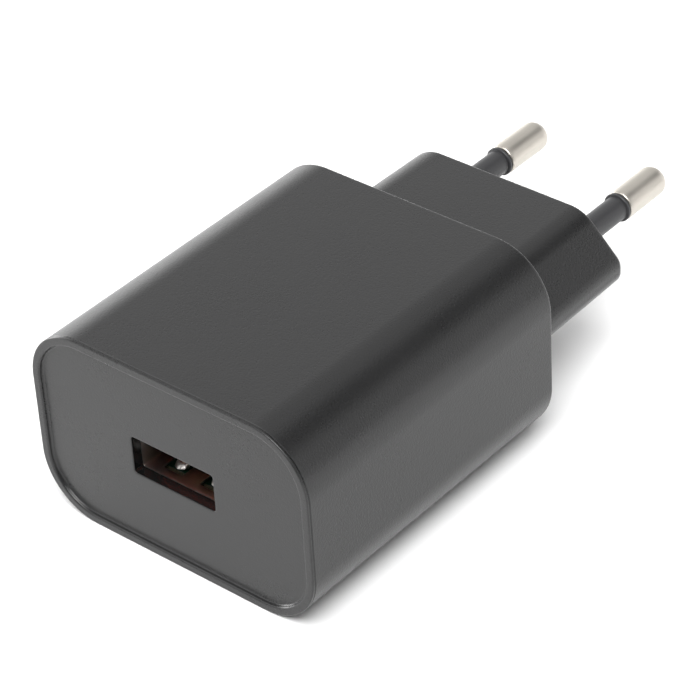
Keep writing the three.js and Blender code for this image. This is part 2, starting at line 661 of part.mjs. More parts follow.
function transformerBobbin() {
  const holeWidth = CORE_CENTRE_LEG + 0.3;
  const holeDepth = CORE_DEPTH + 0.3;
  const flange = roundedRectangle(BOBBIN_WIDTH, BOBBIN_DEPTH, 0.6, 0, TRANSFORMER_Y);
  const tube = roundedRectangle(holeWidth + 1.2, holeDepth + 1.2, 0.4, 0, TRANSFORMER_Y);
  const hole = roundedRectangle(holeWidth, holeDepth, 0.2, 0, TRANSFORMER_Y);
  const railHalf = BOBBIN_WIDTH / 2 - 0.3;
  const railReach = RAIL_DEPTH / 2 - 0.2;
  const rails = [-1, 1].map((side) => {
    const y = TRANSFORMER_Y + side * (BOBBIN_DEPTH - RAIL_DEPTH) / 2;
    return block(-railHalf, railHalf, y - railReach, y + railReach, SEAT, WINDOW_BASE + 0.5);
  });
  const body = joined(
    alongZ(flange, WINDOW_BASE + 0.1, COIL_BASE, 3),
    alongZ(tube, COIL_BASE - 0.2, COIL_TOP + 0.2, 3),
    alongZ(flange, COIL_TOP, COIL_TOP + BOBBIN_FLANGE, 3),
    ...rails,
  );
  const socket = TRANSFORMER_PIN_RADIUS + 0.03;
  const sockets = TRANSFORMER_PINS.map(({ x, y }) => (
    block(x - socket, x + socket, y - socket, y + socket, BOARD_BOTTOM, SEAT + 2)
  ));
  return toGeometry(without(body, alongZ(hole, SEAT, COIL_TOP + 2, 2), ...sockets));
}

function transformerPin({ x, y }) {
  return rodAlongZ(TRANSFORMER_PIN_RADIUS, LEAD_END, SEAT + 1.9, x, y, 8);
}

// The opening of each layer, as the space it leaves round the centre leg.
const PRIMARY_INNER = 1.6;
const SECONDARY_INNER = PRIMARY_INNER + 2 * PRIMARY_BUILD + 0.1;
const TAPE_INNER = SECONDARY_INNER + 2 * SECONDARY_BUILD + 0.1;

// A rectangular ring round the centre leg.
function coil(space, build) {
  const width = CORE_CENTRE_LEG + space;
  const depth = CORE_DEPTH + space;
  const ring = roundedRectangle(width + 2 * build, depth + 2 * build, 0.5 + build / 2, 0, TRANSFORMER_Y);
  ring.holes.push(roundedRectangle(width, depth, 0.2, 0, TRANSFORMER_Y));
  return alongZ(ring, COIL_BASE + 0.05, COIL_TOP - 0.05, 4);
}

// ---------- the other components ----------

function roundedSlab(width, depth, z0, z1, radius, x, y) {
  return alongZ(roundedRectangle(width, depth, radius, x, y), z0, z1, 3);
}

// A lying or standing part whose leads are straight rods down through the board.
function withLeads(body, leads) {
  const rods = leads.map(({ x, y, top }) => rodAlongZ(LEAD_RADIUS, SEAT - 0.05, top, x, y, 8));
  return toGeometry(joined(body, ...rods));
}

// A body turned about a line along X, from [radius, x] pairs measured from its middle.
function turnedAlongX(profile, { x, y, level }, steps) {
  const points = profile.map(([radius, along]) => new THREE.Vector2(radius, along));
  return new THREE.LatheGeometry(points, steps).rotateZ(-Math.PI / 2).translate(x, y, level);
}

// A dog-bone resistor body lying above the board between its two standing leads.
function fusibleResistor() {
  const { x, y, level, length, radius, waist, lead } = RESISTOR;
  const end = length / 2;
  const body = turnedAlongX([
    [0, -end],
    [radius - 0.4, -end],
    [radius, 0.4 - end],
    [radius, 1.3 - end],
    [waist, 1.7 - end],
    [waist, end - 1.7],
    [radius, end - 1.3],
    [radius, end - 0.4],
    [radius - 0.4, end],
    [0, end],
  ], RESISTOR, ROUND_STEPS);
  const leads = [-1, 1].map((side) => {
    const middle = x + side * (end + 0.25);
    const strip = stripOutline([[y, SEAT], [y, level + 0.25]], 0.5);
    return alongX(strip, middle - lead / 2, middle + lead / 2);
  });
  return toGeometry(joined(body, ...leads));
}

// A drum core: two flanges on a neck that carries the wire.
function chokeCore() {
  const { x, y, radius, neck, base, top, height } = CHOKE;
  return turnedAlongZ([
    [0, SEAT],
    [radius, SEAT],
    [radius, SEAT + base],
    [neck, SEAT + base],
    [neck, SEAT + top],
    [radius, SEAT + top],
    [radius, SEAT + height],
    [0, SEAT + height],
  ], x, y);
}

function chokeWinding() {
  const { x, y, neck, base, top, wire } = CHOKE;
  const inner = neck + FIT_GAP;
  const low = SEAT + base + FIT_GAP;
  const high = SEAT + top - FIT_GAP;
  return turnedAlongZ([[inner, low], [wire, low], [wire, high], [inner, high], [inner, low]], x, y);
}

// A ceramic disc standing on two leads.
function safetyCapacitor() {
  const { x, y, level, radius, face, thickness, pitch } = DISC;
  const half = thickness / 2;
  const disc = turnedAlongX([
    [0, -half],
    [face, -half],
    [radius, -0.7],
    [radius, 0.7],
    [face, half],
    [0, half],
  ], DISC, ROUND_STEPS);
  return withLeads(disc, [-1, 1].map((side) => ({ x, y: y + side * pitch / 2, top: level - 1.2 })));
}

// A half-round TO-92 transistor, flat side towards the board's edge.
function powerTransistor() {
  const { x, y, radius, base, top, pitch } = TRANSISTOR;
  const shape = new THREE.Shape();
  shape.absarc(x, y, radius, Math.PI * 0.72, Math.PI * 2.28, false);
  shape.closePath();
  const body = alongZ(shape, base, top, 14);
  return withLeads(body, [-pitch, 0, pitch].map((shift) => ({ x: x + shift, y: y - 0.2, top: base + 0.2 })));
}

// The output rectifier stands on end, with its upper lead bent back down beside it.
function outputDiode() {
  const { x, y, radius, base, top, reach, wire } = DIODE;
  const body = turnedAlongZ([
    [0, base],
    [radius - 0.3, base],
    [radius, base + 0.4],
    [radius, top - 0.4],
    [radius - 0.3, top],
    [0, top],
  ], x, y, ROUND_STEPS);
  const loop = stripOutline([
    [0, top - 0.2],
    [0, top + 0.8],
    [0.6, top + 1.3],
    [reach - 0.6, top + 1.3],
    [reach, top + 0.8],
    [reach, SEAT],
  ], wire);
  const lead = extrude(loop, wire).applyMatrix4(TURN_TO_Y).translate(x, y + wire / 2, 0);
  return toGeometry(joined(body, lead, rodAlongZ(LEAD_RADIUS, SEAT, base + 0.2, x, y, 8)));
}

function optocoupler() {
  const { x, y, width, depth, height, pitch } = OPTOCOUPLER;
  const body = roundedSlab(width, depth, OPTO_BASE, OPTO_BASE + height, 0.2, x, y);
  const feet = [-1, 1].flatMap((side) => [-1, 1].map((row) => {
    const footX = x + side * (width / 2 + 0.2);
    const footY = y + row * pitch / 2;
    return block(footX - 0.35, footX + 0.35, footY - 0.25, footY + 0.25, SEAT, SEAT + 2.2);
  }));
  return toGeometry(joined(body, ...feet));
}

// A surface-mount package under the board with rows of small feet on its two long sides.
function surfacePackage({ x, y, width, depth, height, feet: footCount, pitch }) {
  const base = UNDERSIDE - height;
  const body = roundedSlab(width, depth, base, UNDERSIDE - FIT_GAP, 0.15, x, y);
  const feet = [];
  for (const side of [-1, 1]) {
    for (let index = 0; index < footCount; index += 1) {
      const footX = x + (index - (footCount - 1) / 2) * pitch;
      const inner = y + side * (depth / 2 - 0.2);
      const outer = y + side * (depth / 2 + 0.9);
      feet.push(block(footX - 0.22, footX + 0.22, Math.min(inner, outer), Math.max(inner, outer),
        UNDERSIDE - 0.3, UNDERSIDE));
    }
  }
  return toGeometry(joined(body, ...feet));
}

// ---------- assembly ----------

const charger = new THREE.Group();

function add(name, geometry, look) {
  const mesh = new THREE.Mesh(geometry, look);
  mesh.name = name;
  charger.add(mesh);
}

add('housing', housing(), casingPlastic());
add('front_cap', frontCap(), casingPlastic());

for (const [name, side] of [['left', -1], ['right', 1]]) {
  add(`pin_${name}`, pin(side), nickel());
  add(`pin_sleeve_${name}`, pinSleeve(side), sleevePlastic());
  add(`contact_spring_${name}`, contactSpring(side), tinnedSteel());
}

add('usb_shell', usbShell(), nickel());
add('usb_tongue', usbTongue(), redPlastic());
CONTACT_X.forEach((x, index) => {
  add(`usb_contact_arm_${index + 1}`, contactArm(x), gold());
  add(`usb_contact_tail_${index + 1}`, contactTail(x), gold());
});

add('main_board', mainBoard(), boardGreen());
INPUT_CAPACITORS.forEach((place, index) => {
  add(`input_capacitor_${index + 1}`, electrolytic(place, INPUT_CAPACITOR_HEIGHT), blackSleeve());
});
OUTPUT_CAPACITORS.forEach((place, index) => {
  add(`output_capacitor_${index + 1}`, electrolytic(place, OUTPUT_CAPACITOR_HEIGHT), blueSleeve());
});

add('transformer_core_lower', coreHalf(-1), ferrite());
add('transformer_core_upper', coreHalf(1), ferrite());
add('transformer_bobbin', transformerBobbin(), blackEpoxy());
add('primary_winding', coil(PRIMARY_INNER, PRIMARY_BUILD), copper());
add('secondary_winding', coil(SECONDARY_INNER, SECONDARY_BUILD), copper());
add('transformer_tape', coil(TAPE_INNER, TAPE_BUILD), yellowTape());
TRANSFORMER_PINS.forEach((place, index) => {
  add(`transformer_pin_${index + 1}`, transformerPin(place), tinnedSteel());
});

add('fusible_resistor', fusibleResistor(), greenCoat());
add('choke_core', chokeCore(), ferrite());
add('choke_winding', chokeWinding(), copper());
add('safety_capacitor', safetyCapacitor(), blueCoat());
add('power_transistor', powerTransistor(), blackEpoxy());
add('output_diode', outputDiode(), blackEpoxy());
add('optocoupler', optocoupler(), whiteEpoxy());
add('bridge_rectifier', surfacePackage(BRIDGE), blackEpoxy());
add('controller_ic', surfacePackage(CONTROLLER), blackEpoxy());

export default charger;
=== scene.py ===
import math

import bmesh
import bpy
from mathutils import Matrix, Vector
from mathutils.geometry import tessellate_polygon


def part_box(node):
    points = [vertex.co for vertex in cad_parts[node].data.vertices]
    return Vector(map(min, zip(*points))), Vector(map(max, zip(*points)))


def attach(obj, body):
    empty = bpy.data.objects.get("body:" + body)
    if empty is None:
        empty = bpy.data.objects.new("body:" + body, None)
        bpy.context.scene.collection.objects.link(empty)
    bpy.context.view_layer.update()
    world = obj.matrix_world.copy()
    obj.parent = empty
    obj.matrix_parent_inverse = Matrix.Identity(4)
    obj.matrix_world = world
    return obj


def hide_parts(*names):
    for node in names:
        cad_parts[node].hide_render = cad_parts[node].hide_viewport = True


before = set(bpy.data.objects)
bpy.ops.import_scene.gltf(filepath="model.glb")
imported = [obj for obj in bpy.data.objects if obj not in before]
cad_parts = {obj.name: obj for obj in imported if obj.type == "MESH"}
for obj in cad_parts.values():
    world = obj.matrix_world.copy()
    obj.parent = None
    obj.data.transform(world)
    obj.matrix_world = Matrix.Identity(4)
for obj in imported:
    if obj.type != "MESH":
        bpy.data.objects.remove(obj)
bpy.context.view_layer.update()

# Lengths below are in millimetres in the CAD frame; MM turns them into the scene's metres.
MM = 0.001
BODY = "charger"


def box_mm(node):
    low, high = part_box(node)
    return low / MM, high / MM


# ---------------------------------------------------------------- driving sizes

HOUSING_LOW, HOUSING_HIGH = box_mm("housing")
CAP_LOW, CAP_HIGH = box_mm("front_cap")
WIDTH = HOUSING_HIGH.x - HOUSING_LOW.x
HEIGHT = HOUSING_HIGH.z - HOUSING_LOW.z
MID_HEIGHT = (HOUSING_LOW.z + HOUSING_HIGH.z) / 2
FRONT = CAP_LOW.y
LIP_END = HOUSING_LOW.y
NECK_REAR = HOUSING_HIGH.y
BODY_LENGTH = 44.5
BODY_REAR = FRONT + BODY_LENGTH
BODY_CORNER = 7.8
WALL = 2.0
LIP_WALL = 0.8
LIP_DEPTH = 4.2

NECK_WIDTH = 35.3
NECK_HEIGHT = 13.4
NECK_FLAT = 24.2
NECK_SIDE_FLAT = 2.3
NECK_SLANT_RADIUS = 4.9
NECK_SIDE_RADIUS = 2.0
NECK_DRAFT = 0.85
NECK_WALL = 3.0
BORE_RADIUS = 1.72

RIM_WIDTH = 1.15
PANEL_RECESS = 0.55
PANEL_BACK = FRONT + 2.0
FLANGE_BACK = FRONT + 0.4
PLUG_INSET = 0.85
SKIRT_WALL = 1.1
PORT_WIDTH = 12.4
PORT_HEIGHT = 5.2
PORT_EDGE = 0.12
PORT_CORNER = 0.4

SHELL_LOW, SHELL_HIGH = box_mm("usb_shell")
SHEET = 0.3
SHELL_INNER_WIDTH = 12.5
SHELL_INNER_HEIGHT = 5.12
USB_MID = SHELL_HIGH.z - SHEET - SHELL_INNER_HEIGHT / 2

ARC_STEPS = 24
SIDE_STEPS = 8


# ---------------------------------------------------------------- mesh helpers

def new_object(name, mesh_builder, sharp_degrees=32.0, weighted=True):
    """Turns a bmesh in millimetres into a smooth-shaded object in metres."""
    bmesh.ops.remove_doubles(mesh_builder, verts=mesh_builder.verts, dist=1e-5)
    bmesh.ops.recalc_face_normals(mesh_builder, faces=mesh_builder.faces)
    bmesh.ops.scale(mesh_builder, vec=(MM, MM, MM), verts=mesh_builder.verts)
    mesh = bpy.data.meshes.new(name)
    mesh_builder.to_mesh(mesh)
    mesh_builder.free()
    mesh.polygons.foreach_set("use_smooth", [True] * len(mesh.polygons))
    mesh.set_sharp_from_angle(angle=math.radians(sharp_degrees))
    piece = bpy.data.objects.new(name, mesh)
    bpy.context.scene.collection.objects.link(piece)
    if weighted:
        modifier = piece.modifiers.new("weighted_normals", "WEIGHTED_NORMAL")
        modifier.keep_sharp = True
    return piece


def stand_for(piece, body, slot, material, *nodes):
    piece.data.materials.clear()
    piece.data.materials.append(material)
    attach(piece, body)
    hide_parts(*nodes)
    return piece


def rounded_rectangle(width, height, radius, mid=(0.0, 0.0), arc_steps=ARC_STEPS, side_steps=SIDE_STEPS):
    """Points counter-clockwise from the start of the lower right corner."""
    right, top = width / 2 - radius, height / 2 - radius
    corners = [(right, -top, -90), (right, top, 0), (-right, top, 90), (-right, -top, 180)]
    points = []
    for index, (x, z, start) in enumerate(corners):
        arc = []
        for step in range(arc_steps + 1):
            angle = math.radians(start + 90 * step / arc_steps)
            arc.append((mid[0] + x + radius * math.cos(angle), mid[1] + z + radius * math.sin(angle)))
        points += arc
        next_x, next_z, next_start = corners[(index + 1) % 4]
        angle = math.radians(next_start)
        goal = (mid[0] + next_x + radius * math.cos(angle), mid[1] + next_z + radius * math.sin(angle))
        for step in range(1, side_steps):
            share = step / side_steps
            points.append(tuple(a + (b - a) * share for a, b in zip(arc[-1], goal)))
    return points


def rounded_polygon(corners, arc_steps, side_steps):
    """A convex outline from (x, z, radius) corners, each replaced by a tangent arc."""
    arcs = []
    for index, (x, z, radius) in enumerate(corners):
        corner = Vector((x, z))
        before = (Vector(corners[index - 1][:2]) - corner).normalized()
        after = (Vector(corners[(index + 1) % len(corners)][:2]) - corner).normalized()
        half = before.angle(after) / 2
        centre = corner + (before + after).normalized() * (radius / math.sin(half))
        start = corner + before * (radius / math.tan(half)) - centre
        sweep = math.pi - 2 * half
        first = math.atan2(start.y, start.x)
        arcs.append([
            centre + radius * Vector((math.cos(first + sweep * step / arc_steps),
                                      math.sin(first + sweep * step / arc_steps)))
            for step in range(arc_steps + 1)
        ])
    points = []
    for index, arc in enumerate(arcs):
        points += [tuple(point) for point in arc]
        goal = arcs[(index + 1) % len(arcs)][0]
        points += [tuple(arc[-1].lerp(goal, step / side_steps)) for step in range(1, side_steps)]
    return points


def body_outline(inset):
    return rounded_rectangle(WIDTH - 2 * inset, HEIGHT - 2 * inset, BODY_CORNER - inset, (0, MID_HEIGHT))


def neck_outline(inset, y):
    """The Europlug outline at one station, shrunk by the inset and widened by the draft."""
    half_width, half_height = NECK_WIDTH / 2 - inset, NECK_HEIGHT / 2 - inset
    shift = inset * math.tan(math.pi / 8)
    flat, side = NECK_FLAT / 2 - shift, NECK_SIDE_FLAT / 2 - shift
    slant = max(NECK_SLANT_RADIUS - inset, 0.5)
    edge = max(NECK_SIDE_RADIUS - inset, 0.3)
    quarter = [(flat, -half_height, slant), (half_width, -side, edge)]
    corners = quarter + [(half_width, side, edge), (flat, half_height, slant)]
    corners += [(-flat, half_height, slant), (-half_width, side, edge)]
    corners += [(-half_width, -side, edge), (-flat, -half_height, slant)]
    widen = 1 + (NECK_REAR - y) / (NECK_REAR - BODY_REAR) * NECK_DRAFT / NECK_WIDTH
    points = rounded_polygon(corners, ARC_STEPS // 2, SIDE_STEPS // 2)
    return [(x * widen, z + MID_HEIGHT) for x, z in points]


def port_outline(grow):
    return rounded_rectangle(
        PORT_WIDTH + 2 * grow, PORT_HEIGHT + 2 * grow, PORT_CORNER + grow, (0, USB_MID))


def fillet(start, end, bulge, steps=5):
    """Stations from start to end, each (y, inset), along a quarter round.

    A bulge of 1 leaves the start along Y, and a bulge of -1 leaves it along the inset."""
    stations = []
    for step in range(steps + 1):
        angle = math.pi / 2 * step / steps
        along, across = (math.sin(angle), 1 - math.cos(angle))
        if bulge < 0:
            along, across = across, along
        stations.append((start[0] + (end[0] - start[0]) * along, start[1] + (end[1] - start[1]) * across))
    return stations


# The per-vertex layer that marks rounded edges for a painted highlight in their colour.
def edge_sheen_layer(mesh_builder):
    layers = mesh_builder.verts.layers.float
    return layers.get("edge_sheen") or layers.new("edge_sheen")


def add_ring(mesh_builder, outline, y, edge_sheen=0.0):
    """A ring of vertices at one station; the last argument is the share of painted highlight that lightens
    the colour on a rounded edge.
    """
    layer = edge_sheen_layer(mesh_builder)
    ring = [mesh_builder.verts.new((x, y, z)) for x, z in outline]
    for vertex in ring:
        vertex[layer] = edge_sheen
    return ring


def bridge(mesh_builder, first, second):
    count = len(first)
    for index in range(count):
        after = (index + 1) % count
        mesh_builder.faces.new((first[index], second[index], second[after], first[after]))


def bridge_all(mesh_builder, rings, closed=False):
    for first, second in zip(rings, rings[1:]):
        bridge(mesh_builder, first, second)
    if closed:
        bridge(mesh_builder, rings[-1], rings[0])


def fill_with_holes(mesh_builder, *loops):
    """A flat face bounded by the first loop, with the other loops as holes."""
    every = [vertex for loop in loops for vertex in loop]
    triangles = tessellate_polygon([[vertex.co for vertex in loop] for loop in loops])
    for triangle in triangles:
        mesh_builder.faces.new([every[index] for index in triangle])


def circle(radius, x, z, steps=48):
    return [
        (x + radius * math.cos(2 * math.pi * step / steps), z + radius * math.sin(2 * math.pi * step / steps))
        for step in range(steps)
    ]


def lathe_along_y(mesh_builder, profile, x, z, steps=64):
    """Turns (radius, y) stations about a line along Y; a radius of 0 closes the end."""
    rings = [add_ring(mesh_builder, circle(radius, x, z, steps), y) for radius, y in profile if radius > 0]
    bridge_all(mesh_builder, rings)
    for end, ring in ((profile[0], rings[0]), (profile[-1], rings[-1])):
        if end[0] == 0:
            tip = mesh_builder.verts.new((x, end[1], z))
            for index in range(steps):
                mesh_builder.faces.new((tip, ring[index], ring[(index + 1) % steps]))
    return rings


def turned(mesh_builder, profile, place, axis="Z", steps=48, closed=False):
    """Turns (radius, along) stations about a line through a place, along X or Z."""
    part = bmesh.new()
    rings = lathe_along_y(part, profile, 0.0, 0.0, steps)
    if closed:
        bridge(part, rings[-1], rings[0])
    turn = Matrix.Rotation(math.pi / 2, 4, "X") if axis == "Z" else Matrix.Rotation(-math.pi / 2, 4, "Z")
    bmesh.ops.transform(part, matrix=Matrix.Translation(place) @ turn, verts=part.verts)
    scratch = bpy.data.meshes.new("scratch")
    part.to_mesh(scratch)
    part.free()
    mesh_builder.from_mesh(scratch)
    bpy.data.meshes.remove(scratch)


def soften(profile, radius=0.12, steps=3):
    """The same profile with each inner corner replaced by a small round."""
    points = [Vector(point) for point in profile]
    softened = [tuple(points[0])]
    for before, corner, after in zip(points, points[1:], points[2:]):
        reach = min(radius, (corner - before).length * 0.45, (after - corner).length * 0.45)
        start = corner + (before - corner).normalized() * reach
        end = corner + (after - corner).normalized() * reach
        for step in range(steps + 1):
            share = step / steps
            softened.append(tuple(start.lerp(corner, share).lerp(corner.lerp(end, share), share)))
    return softened + [tuple(points[-1])]


# ---------------------------------------------------------------- shader helpers

class Look:
    """A node material: a Principled shader whose sockets are fed by small procedural graphs."""

    def __init__(self, name, **fixed):
        self.material = bpy.data.materials.new(name)
        self.material.use_nodes = True
        self.tree = self.material.node_tree
        self.shader = self.tree.nodes["Principled BSDF"]
        self.place = self.tree.nodes.new("ShaderNodeTexCoord").outputs["Object"]
        for socket, value in fixed.items():
            self.shader.inputs[socket.replace("_", " ")].default_value = value

    def node(self, kind, settings=None, **links):
        node = self.tree.nodes.new("ShaderNode" + kind)
        for name, value in (settings or {}).items():
            setattr(node, name, value)
        for name, value in links.items():
            self.put(node.inputs[name.replace("_", " ")], value)
        return node

    def put(self, socket, value):
        if isinstance(value, bpy.types.NodeSocket):
            self.tree.links.new(value, socket)
        else:
            socket.default_value = value

    def feed(self, socket, value):
        self.put(self.shader.inputs[socket], value)

    def stretched(self, factors):
        node = self.node("Mapping", Vector=self.place)
        node.inputs["Scale"].default_value = factors
        return node.outputs["Vector"]

    def noise(self, scale, detail=3.0, roughness=0.55, vector=None):
        node = self.node("TexNoise", Vector=vector or self.place, Scale=scale, Detail=detail,
                         Roughness=roughness)
        return node.outputs["Fac"]

    def cells(self, scale, vector=None, feature="F1"):
        node = self.node("TexVoronoi", {"feature": feature}, Vector=vector or self.place, Scale=scale)
        return node.outputs["Distance"]

    def spread(self, value, low, high, start=0.0, end=1.0):
        node = self.node("MapRange", Value=value)
        for name, number in (("From Min", start), ("From Max", end), ("To Min", low), ("To Max", high)):
            node.inputs[name].default_value = number
        return node.outputs["Result"]

    def ramp(self, value, *stops):
        node = self.node("ValToRGB", Fac=value)
        elements = node.color_ramp.elements
        while len(elements) < len(stops):
            elements.new(0.5)
        for element, (position, colour) in zip(elements, stops):
            element.position = position
            element.color = (*colour, 1.0)
        return node.outputs["Color"]

    def mixed(self, share, first, second, blend="MIX"):
        node = self.node("Mix", {"data_type": "RGBA", "blend_type": blend})
        self.put(node.inputs["Factor"], share)
        self.put(node.inputs["A"], (*first, 1.0) if isinstance(first, tuple) else first)
        self.put(node.inputs["B"], (*second, 1.0) if isinstance(second, tuple) else second)
        return node.outputs["Result"]

    def math(self, operation, first, second=0.0):
        node = self.node("Math", {"operation": operation})
        self.put(node.inputs[0], first)
        self.put(node.inputs[1], second)
        return node.outputs["Value"]

    def bump(self, height, distance, strength=1.0, normal=None):
        node = self.node("Bump", Height=height, Distance=distance, Strength=strength)
        if normal is not None:
            self.put(node.inputs["Normal"], normal)
        return node.outputs["Normal"]

    def along(self, axis):
        """The object coordinate along one axis, in millimetres."""
        parts = self.node("SeparateXYZ", Vector=self.place)
        return self.math("DIVIDE", parts.outputs[axis], MM)

    def between(self, axis, low, high):
        place = self.along(axis)
        return self.math("MULTIPLY", self.math("GREATER_THAN", place, low),
                         self.math("LESS_THAN", place, high))

    def within(self, low, high):
        """1 inside a box given in millimetres, 0 outside it."""
        share = self.between("X", low[0], high[0])
        for axis, index in (("Y", 1), ("Z", 2)):
            share = self.math("MULTIPLY", share, self.between(axis, low[index], high[index]))
        return share

    def edge_sheen(self):
        """The mesh's own per-vertex value: 1 on convex edges, which get a painted highlight, 0 on flat faces.
        """
        return self.node("Attribute", {"attribute_name": "edge_sheen"}).outputs["Fac"]


# ---------------------------------------------------------------- materials

# Relief of the moulded grain and of the plating's drawn lines, in metres.
GRAIN_HEIGHT = 0.000035
DRAWN_LINE_HEIGHT = 0.000004


def moulded_plastic(name, colour, roughness, grain=1.0, edge_highlight=0.25):
    """Spark-textured ABS: a fine pebble grain with faint cloudy variation and convex edges lightened as a
    painted highlight.
    """
    look = Look(name, Specular_IOR_Level=0.5)
    cloud = look.noise(90.0, detail=4.0)
    fine = look.noise(4600.0, detail=2.0, roughness=0.5)
    light = tuple(channel * 1.08 for channel in colour)
    dark = tuple(channel * 0.92 for channel in colour)
    body = look.ramp(look.math("ADD", look.spread(cloud, 0.0, 0.5), look.spread(fine, 0.0, 0.5)),
                     (0.32, dark), (0.68, light))
    # Convex edges are lightened, broken up by fine noise, as a painted highlight.
    sheen_colour = tuple(min(channel * (1 + edge_highlight * 2), 1.0) for channel in colour)
    sheen_share = look.math("MULTIPLY", look.edge_sheen(), look.spread(fine, 0.0, 0.8, 0.3, 0.7))
    look.feed("Base Color", look.mixed(sheen_share, body, sheen_colour))
    rough = look.math("ADD", look.spread(cloud, -0.03, 0.03),
                      look.spread(fine, roughness - 0.04, roughness + 0.04))
    look.feed("Roughness", rough)
    look.feed("Normal", look.bump(fine, GRAIN_HEIGHT * grain, 0.8))
    return look.material


def plated_metal(name, colour, roughness, scratch_scale, scratch_stretch, variation=0.06, relief=1.0):
    """Electroplated metal: faint drawn lines, cloudy gloss and a few dull spots."""
    look = Look(name, Metallic=1.0)
    drawn = look.noise(scratch_scale, detail=5.0, roughness=0.7, vector=look.stretched(scratch_stretch))
    cloud = look.noise(260.0, detail=4.0)
    dull = tuple(channel * (1 - variation) for channel in colour)
    look.feed("Base Color", look.ramp(cloud, (0.3, dull), (0.7, colour)))
    rough = look.math("ADD", look.spread(drawn, -0.05, 0.07),
                      look.spread(cloud, roughness - 0.04, roughness + 0.05))
    look.feed("Roughness", rough)
    look.feed("Normal", look.bump(drawn, DRAWN_LINE_HEIGHT * relief, 0.5))
    return look.material


CASING = moulded_plastic("casing_plastic", (0.0135, 0.0135, 0.0138), 0.29)
# Darker than the casing, as painted shade on the walls inside the port opening.
PORT_WALL_PAINTED_SHADE = moulded_plastic("port_wall_painted_shade_plastic", (0.006, 0.006, 0.006), 0.16, grain=0.15, edge_highlight=0.0)
INSULATION = moulded_plastic("pin_insulation_plastic", (0.030, 0.030, 0.032), 0.42, grain=0.5)
PIN_METAL = plated_metal("pin_nickel", (0.60, 0.565, 0.51), 0.38, 900.0, (6.0, 0.4, 6.0))
SHELL_METAL = plated_metal("usb_shell_nickel", (0.46, 0.44, 0.42), 0.30, 700.0, (0.5, 5.0, 5.0), relief=0.2)
GOLD = plated_metal("contact_gold", (0.95, 0.72, 0.33), 0.20, 1200.0, (6.0, 0.6, 6.0))
TINNED = plated_metal("tinned_metal", (0.74, 0.75, 0.77), 0.30, 900.0, (3.0, 3.0, 0.5))
INSULATOR = moulded_plastic("usb_insulator_plastic", (0.36, 0.042, 0.018), 0.35, grain=0.4, edge_highlight=0.1)


def coated(name, colour, roughness, speckle=0.12, coat=0.0):
    """A dipped or moulded component body: mottled colour, soft orange-peel and edges lightened as a painted
    highlight.
    """
    look = Look(name, Coat_Weight=coat, Coat_Roughness=0.12)
    mottle = look.noise(900.0, detail=5.0, roughness=0.65)
    cloud = look.noise(200.0)
    dark = tuple(channel * (1 - speckle) for channel in colour)
    light = tuple(min(channel * (1 + speckle) + 0.01, 1.0) for channel in colour)
    body = look.ramp(mottle, (0.3, dark), (0.7, light))
    # Edges are mixed towards the lighter tone as a painted highlight.
    look.feed("Base Color", look.mixed(look.math("MULTIPLY", look.edge_sheen(), 0.3), body, light))
    look.feed("Roughness", look.math("ADD", look.spread(cloud, -0.06, 0.06), roughness))
    look.feed("Normal", look.bump(mottle, 0.00002, 0.5))
    return look


def with_metal(look, metal_share, metal=(0.72, 0.72, 0.73), roughness=0.32):
    """Turns part of a look into bright tinned metal, where the share is 1."""
    colour = look.shader.inputs["Base Color"].links[0].from_socket
    rough = look.shader.inputs["Roughness"].links[0].from_socket
    streaks = look.noise(1400.0, detail=4.0)
    bright = look.ramp(streaks, (0.3, tuple(channel * 0.85 for channel in metal)), (0.7, metal))
    look.feed("Base Color", look.mixed(metal_share, colour, bright))
    look.feed("Metallic", metal_share)
    target = look.spread(streaks, roughness - 0.08, roughness + 0.08)
    look.feed("Roughness", look.math("ADD", look.math("MULTIPLY", metal_share, target),
                                     look.math("MULTIPLY", look.math("SUBTRACT", 1.0, metal_share), rough)))
    return look.material


def packaged(name, colour, roughness, low, high):
    """A moulded package whose leads, outside the box from low to high, are tinned."""
    look = coated(name, colour, roughness)
    return with_metal(look, look.math("SUBTRACT", 1.0, look.within(low, high)))


def board_material(low, high):
    """Green solder mask with faint tracks under it and dark, woven glass-epoxy edges."""
    look = Look("board_laminate", Coat_Weight=0.4, Coat_Roughness=0.1)
    weave = look.node("TexWave", {"bands_direction": "X"}, Vector=look.place, Scale=700.0, Distortion=1.5)
    cloud = look.noise(160.0, detail=4.0)
    tracks = look.node("TexVoronoi", {"feature": "DISTANCE_TO_EDGE", "distance": "CHEBYCHEV"},
                       Vector=look.place, Scale=260.0).outputs["Distance"]
    copper = look.math("GREATER_THAN", tracks, 0.16)
    mask = look.mixed(copper, (0.004, 0.020, 0.010), (0.008, 0.040, 0.018))
    shaded = look.mixed(look.spread(cloud, 0.0, 0.35), mask, (0.003, 0.014, 0.008))
    edge = look.mixed(look.spread(weave.outputs["Fac"], 0.2, 0.8), (0.050, 0.042, 0.022),
                      (0.085, 0.070, 0.038))
    face = look.math("MAXIMUM", look.math("GREATER_THAN", look.along("Z"), high - 0.06),
                     look.math("LESS_THAN", look.along("Z"), low + 0.06))
    look.feed("Base Color", look.mixed(face, edge, shaded))
    look.feed("Roughness", look.math("ADD", look.spread(cloud, 0.28, 0.4), look.spread(face, 0.3, 0.0)))
    look.feed("Normal", look.bump(copper, 0.00003, 0.6))
    return look.material


